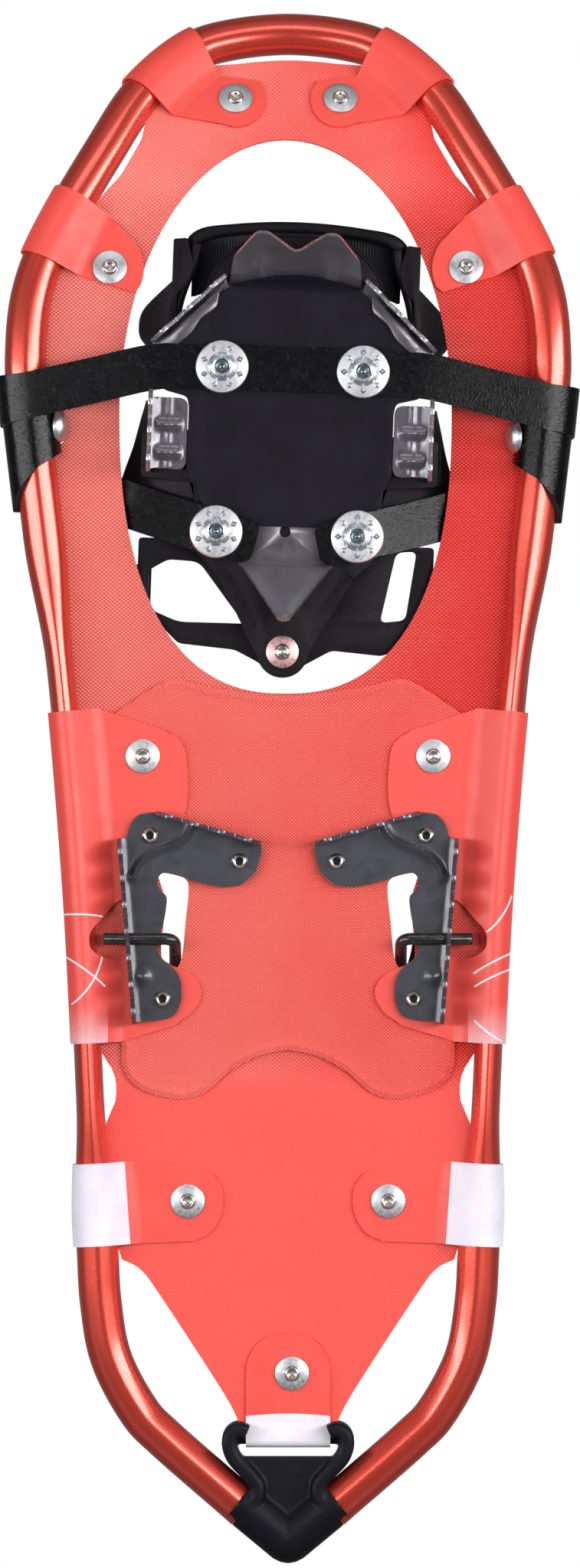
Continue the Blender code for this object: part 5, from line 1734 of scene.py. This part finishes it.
def make_heel_cradle():
    """Plate with two unlike windows, its side walls, and the rivet it swivels on."""
    right = [(9, 60), (16, 77), (33, 87), (53, 87), (53, 60), (43.1, 54.8), (37.5, 49.5), (17.2, 47.9),
             (9.6, 44.2)]
    left = [(-9.6, 44.2), (-17.5, 48.8), (-35.9, 47.5), (-46, 53), (-53, 58), (-53, 87), (-33, 87),
            (-16, 77), (-9, 60)]
    outline = right + circle(YOKE_AXIS, 9.0, 24)[14:23][::-1] + left
    window_right = rounded([(14.2, 57.4), (31.1, 79), (42.2, 79.5), (50.2, 74.6), (48.6, 61.6),
                            (37.8, 57.2)],
                           [1, 3, 2, 3, 3, 3], 4)
    window_left = rounded([(-34.5, 59.4), (-43.6, 60.6), (-46.8, 85.5), (-39.5, 84.8)], 2.5, 5)
    body = bevelled(plate(rounded(outline, 1.5, 3), *YOKE, [window_right, window_left]), 0.6, 3)
    piece("cradle_plate", body, charcoal, "heel_cradle", "heel_yoke", turned,
          sharp=45)
    for side, word in pairs():
        wall = rounded([(57, YOKE[0] + 0.6), (86, YOKE[0] + 0.6), (80, 62), (76, 80), (58, 80),
                        (57, 62)],
                       [1, 2, 6, 4, 4, 6], 5)
        hole = rounded([(63, 40), (76, 40), (73, 56), (64, 56)], 3, 5)
        mesh = plate(wall, -1.5, 1.5, [hole])
        mesh = placed(bevelled(mesh, 0.7, 3), (side * 51.4, 0, 0), (0, 1, 0), (0, 0, 1))
        piece(f"cradle_wall_{word}", mesh, charcoal, "heel_cradle", (), turned,
              sharp=45)
        fillet = [Vector((side * 49.6, y, YOKE[1] + 1.0)) for y in (60, 66, 72, 78, 84)]
        piece(f"cradle_fillet_{word}", sweep(fillet, tube_section(1.6, 1.6, 16), up=(0, 0, 1)),
              charcoal, "heel_cradle", (), turned)
    seat = BASE[0] - 0.2
    centre = (*YOKE_AXIS, seat)
    disc, rivet = rivet_meshes(YOKE_WASHER)
    piece("yoke_washer", disc, pink_alloy, "binding", "yoke_rivet", turned, centre, 30)
    piece("yoke_rivet_head", rivet, rivet_metal, "binding", (), turned, centre, 40)
    top = [(0, 1.8), (2.0, 1.7), (3.8, 1.2), (4.6, 0.4), (4.6, 0.0), (0, 0.0)]
    piece("yoke_rivet_top", lathe(top), rivet_metal, "binding", (), turned,
          (*YOKE_AXIS, YOKE[1] + 0.1), 40)
    make_heel_strap()


def make_heel_strap():
    """Moulded strap round the heel, slotted along its length, with its buckle."""
    middle = sum(HEEL_STRAP) / 2
    half = [(54.4, 78, middle), (54.6, 50, middle), (54.4, 0, middle), (53.0, -45, middle)]
    around = [(53.0 * math.cos(math.radians(a)), -50 - 47.5 * math.sin(math.radians(a)), middle)
              for a in range(15, 91, 15)]
    line = curve_through(half + around, 14)
    line = line + [Vector((-p.x, p.y, p.z)) for p in line[-2::-1]]
    path = [line[0]]
    for p in line[1:]:
        while (p - path[-1]).length > 1.0:
            path.append(path[-1] + (p - path[-1]).normalized() * 1.0)
    path.append(line[-1])

    def section(i):
        cut = 0.5 if i % 6 in (2, 3, 4) else 0.0
        at_end = min(i, len(path) - 1 - i)
        h = 8.5 - 3.0 * (1 - smooth_step(at_end, 0, 5))
        return [(1.35, h - 0.6), (1.0, h), (-1.0, h), (-1.35, h - 0.6), (-1.35, -h + 0.6), (-1.0, -h),
                (1.0, -h),
                (1.35, -h + 0.6), (1.35, -5.2), (1.35 - cut, -4.8), (1.35 - cut, 4.8), (1.35, 5.2)]
    piece("heel_strap_moulded", sweep(path, section, up=(0, 0, 1)), rubber, "heel_cradle", "heel_strap",
          turned, sharp=30)
    face = rounded([(-12, -11), (12, -11), (12, 11), (-12, 11)], 3.5, 5)
    slot_a = rounded([(-8.5, -9), (-5.5, -9), (-5.5, 9), (-8.5, 9)], 1, 3)
    slot_b = rounded([(5.5, -9), (8.5, -9), (8.5, 9), (5.5, 9)], 1, 3)
    buckle = placed(bevelled(plate(face, -2.0, 2.0, [slot_a, slot_b]), 0.7, 3), (57.9, 20, middle),
                    (-0.062, 1, 0), (0, 0, 1))
    piece("heel_buckle_frame", buckle, charcoal, "heel_cradle", "heel_buckle",
          turned, sharp=45)


make_frame_tube()
make_tail_cap()
make_deck()
make_doubler()
make_tabs()
make_deck_rivets()
make_heel_crampons()
make_heel_rivets()
make_heel_pad()
make_bail()
make_suspension()
make_bolts()
make_toe_crampon()
make_anti_ball_plate()
make_binding_base()
make_side_lobes()
make_wings()
make_toe_band()
make_instep()
make_heel_cradle()


# ---------------------------------------------------------------- stage, lights and camera
FLOOR = (-3.0, -1.0)
FLOOR_HALF = 6000


def make_stage():
    """A pale floor for cameras above it only. No other ray meets it, so the sole shows through it."""
    far = FLOOR_HALF
    mesh = plate(rounded([(-far, -far), (far, -far), (far, far), (-far, far)], 300), *FLOOR)
    for vert in mesh.vertices:
        vert.co = vert.co * MM
    floor = bpy.data.objects.new("floor", mesh)
    bpy.context.collection.objects.link(floor)
    look = Look("pale_floor", (0.86, 0.86, 0.87), 0.8)
    look.paint(look.mottled(300, 0.01))
    clear = look.nodes.new("ShaderNodeBsdfTransparent")
    mix = look.nodes.new("ShaderNodeMixShader")
    rays = look.nodes.new("ShaderNodeLightPath")
    up = look.nodes.new("ShaderNodeNewGeometry")
    split = look.nodes.new("ShaderNodeSeparateXYZ")
    look.links.new(up.outputs["Normal"], split.inputs[0])
    facing = look.math("GREATER_THAN", split.outputs[2], 0.5)
    front = look.times(facing, look.minus(1.0, up.outputs["Backfacing"]))
    look.set(mix, 0, look.times(front, rays.outputs["Is Camera Ray"]))
    look.links.new(clear.outputs[0], mix.inputs[1])
    look.links.new(look.shader.outputs[0], mix.inputs[2])
    output = look.nodes["Material Output"]
    look.links.new(mix.outputs[0], output.inputs["Surface"])
    mesh.materials.append(look.material)


def make_world():
    """White to the camera. To all other rays, a sky with the levels of SKY."""
    world = bpy.data.worlds.new("studio")
    bpy.context.scene.world = world
    world.use_nodes = True
    nodes, links = world.node_tree.nodes, world.node_tree.links
    back = nodes["Background"]
    back.inputs["Color"].default_value = (1, 1, 1, 1)
    rays = nodes.new("ShaderNodeLightPath")
    place = nodes.new("ShaderNodeTexCoord")
    split = nodes.new("ShaderNodeSeparateXYZ")
    links.new(place.outputs["Generated"], split.inputs[0])
    ramp = nodes.new("ShaderNodeValToRGB")
    shift = nodes.new("ShaderNodeMath")
    shift.operation = "MULTIPLY_ADD"
    links.new(split.outputs[2], shift.inputs[0])
    shift.inputs[1].default_value = 0.5
    shift.inputs[2].default_value = 0.5
    links.new(shift.outputs[0], ramp.inputs[0])
    stops = list(zip(SKY_PLACES, SKY))
    ramp.color_ramp.elements[0].position = 0.0
    while len(ramp.color_ramp.elements) < len(stops):
        ramp.color_ramp.elements.new(0.5)
    for element, (at, level) in zip(ramp.color_ramp.elements, stops):
        element.position = at
        element.color = (level, level, level * 1.02, 1)
    choose = nodes.new("ShaderNodeMix")
    choose.data_type = "RGBA"
    links.new(rays.outputs["Is Camera Ray"], choose.inputs[0])
    links.new(ramp.outputs[0], choose.inputs[6])
    choose.inputs[7].default_value = (1, 1, 1, 1)
    links.new(choose.outputs[2], back.inputs["Color"])


# from straight below, through the horizon at 0.5, to straight above: dark below, brightest aslant below
# the horizon, dim at it and a little brighter above
SKY_PLACES = (0.0, 0.10, 0.30, 0.50, 0.72, 1.0)
SKY = (0.06, 0.12, 0.38, 0.10, 0.14, 0.22)
LIGHTS = [
    # name, place, aimed at, width, length, watts
    ("key_below", (-1.05, 0.20, -1.10), (0, 0, 0.03), 0.42, 1.8, 24),
    ("fill_below", (1.05, 0.05, -1.00), (0, 0, 0.03), 0.30, 1.8, 15),
    ("front_below", (0.05, 1.4, -1.3), (0, 0.1, 0.03), 1.2, 0.5, 5),
    ("key_above", (-0.9, -0.6, 1.5), (0, 0, 0.05), 1.2, 1.2, 26),
    ("fill_above", (1.1, 0.7, 1.3), (0, 0, 0.05), 1.2, 1.2, 14),
]


def make_lights():
    """Area lights, none of them seen by the camera."""
    for name, place, aim, width, length, watts in LIGHTS:
        lamp = bpy.data.lights.new(name, "AREA")
        lamp.shape = "RECTANGLE"
        lamp.size = width
        lamp.size_y = length
        lamp.energy = watts
        item = bpy.data.objects.new(name, lamp)
        item.location = place
        way = Vector(aim) - Vector(place)
        item.rotation_euler = way.to_track_quat("-Z", "Y").to_euler()
        item.visible_camera = False
        # upright black walls would mirror the lights above and turn grey
        item.visible_glossy = place[2] < 0
        bpy.context.collection.objects.link(item)


# in metres: distance, height of what the picture shows, and the place under the picture's middle
CAMERA_FAR = 3.5
FRAME_HEIGHT = 0.5619
PICTURE_MIDDLE = (-0.0007, 0.0004)
SENSOR = 36.0


def make_camera():
    """Straight below, looking up, with the toe at the top of the picture."""
    data = bpy.data.cameras.new("camera")
    data.sensor_width = SENSOR
    data.lens = SENSOR * CAMERA_FAR / FRAME_HEIGHT
    data.clip_end = 20.0
    camera = bpy.data.objects.new("camera", data)
    camera.location = (*PICTURE_MIDDLE, TUBE_Z * MM - CAMERA_FAR)
    camera.rotation_euler = (0, math.pi, 0)
    bpy.context.collection.objects.link(camera)
    bpy.context.scene.camera = camera
    bpy.context.scene.view_settings.view_transform = "Standard"


make_stage()
make_world()
make_lights()
make_camera()
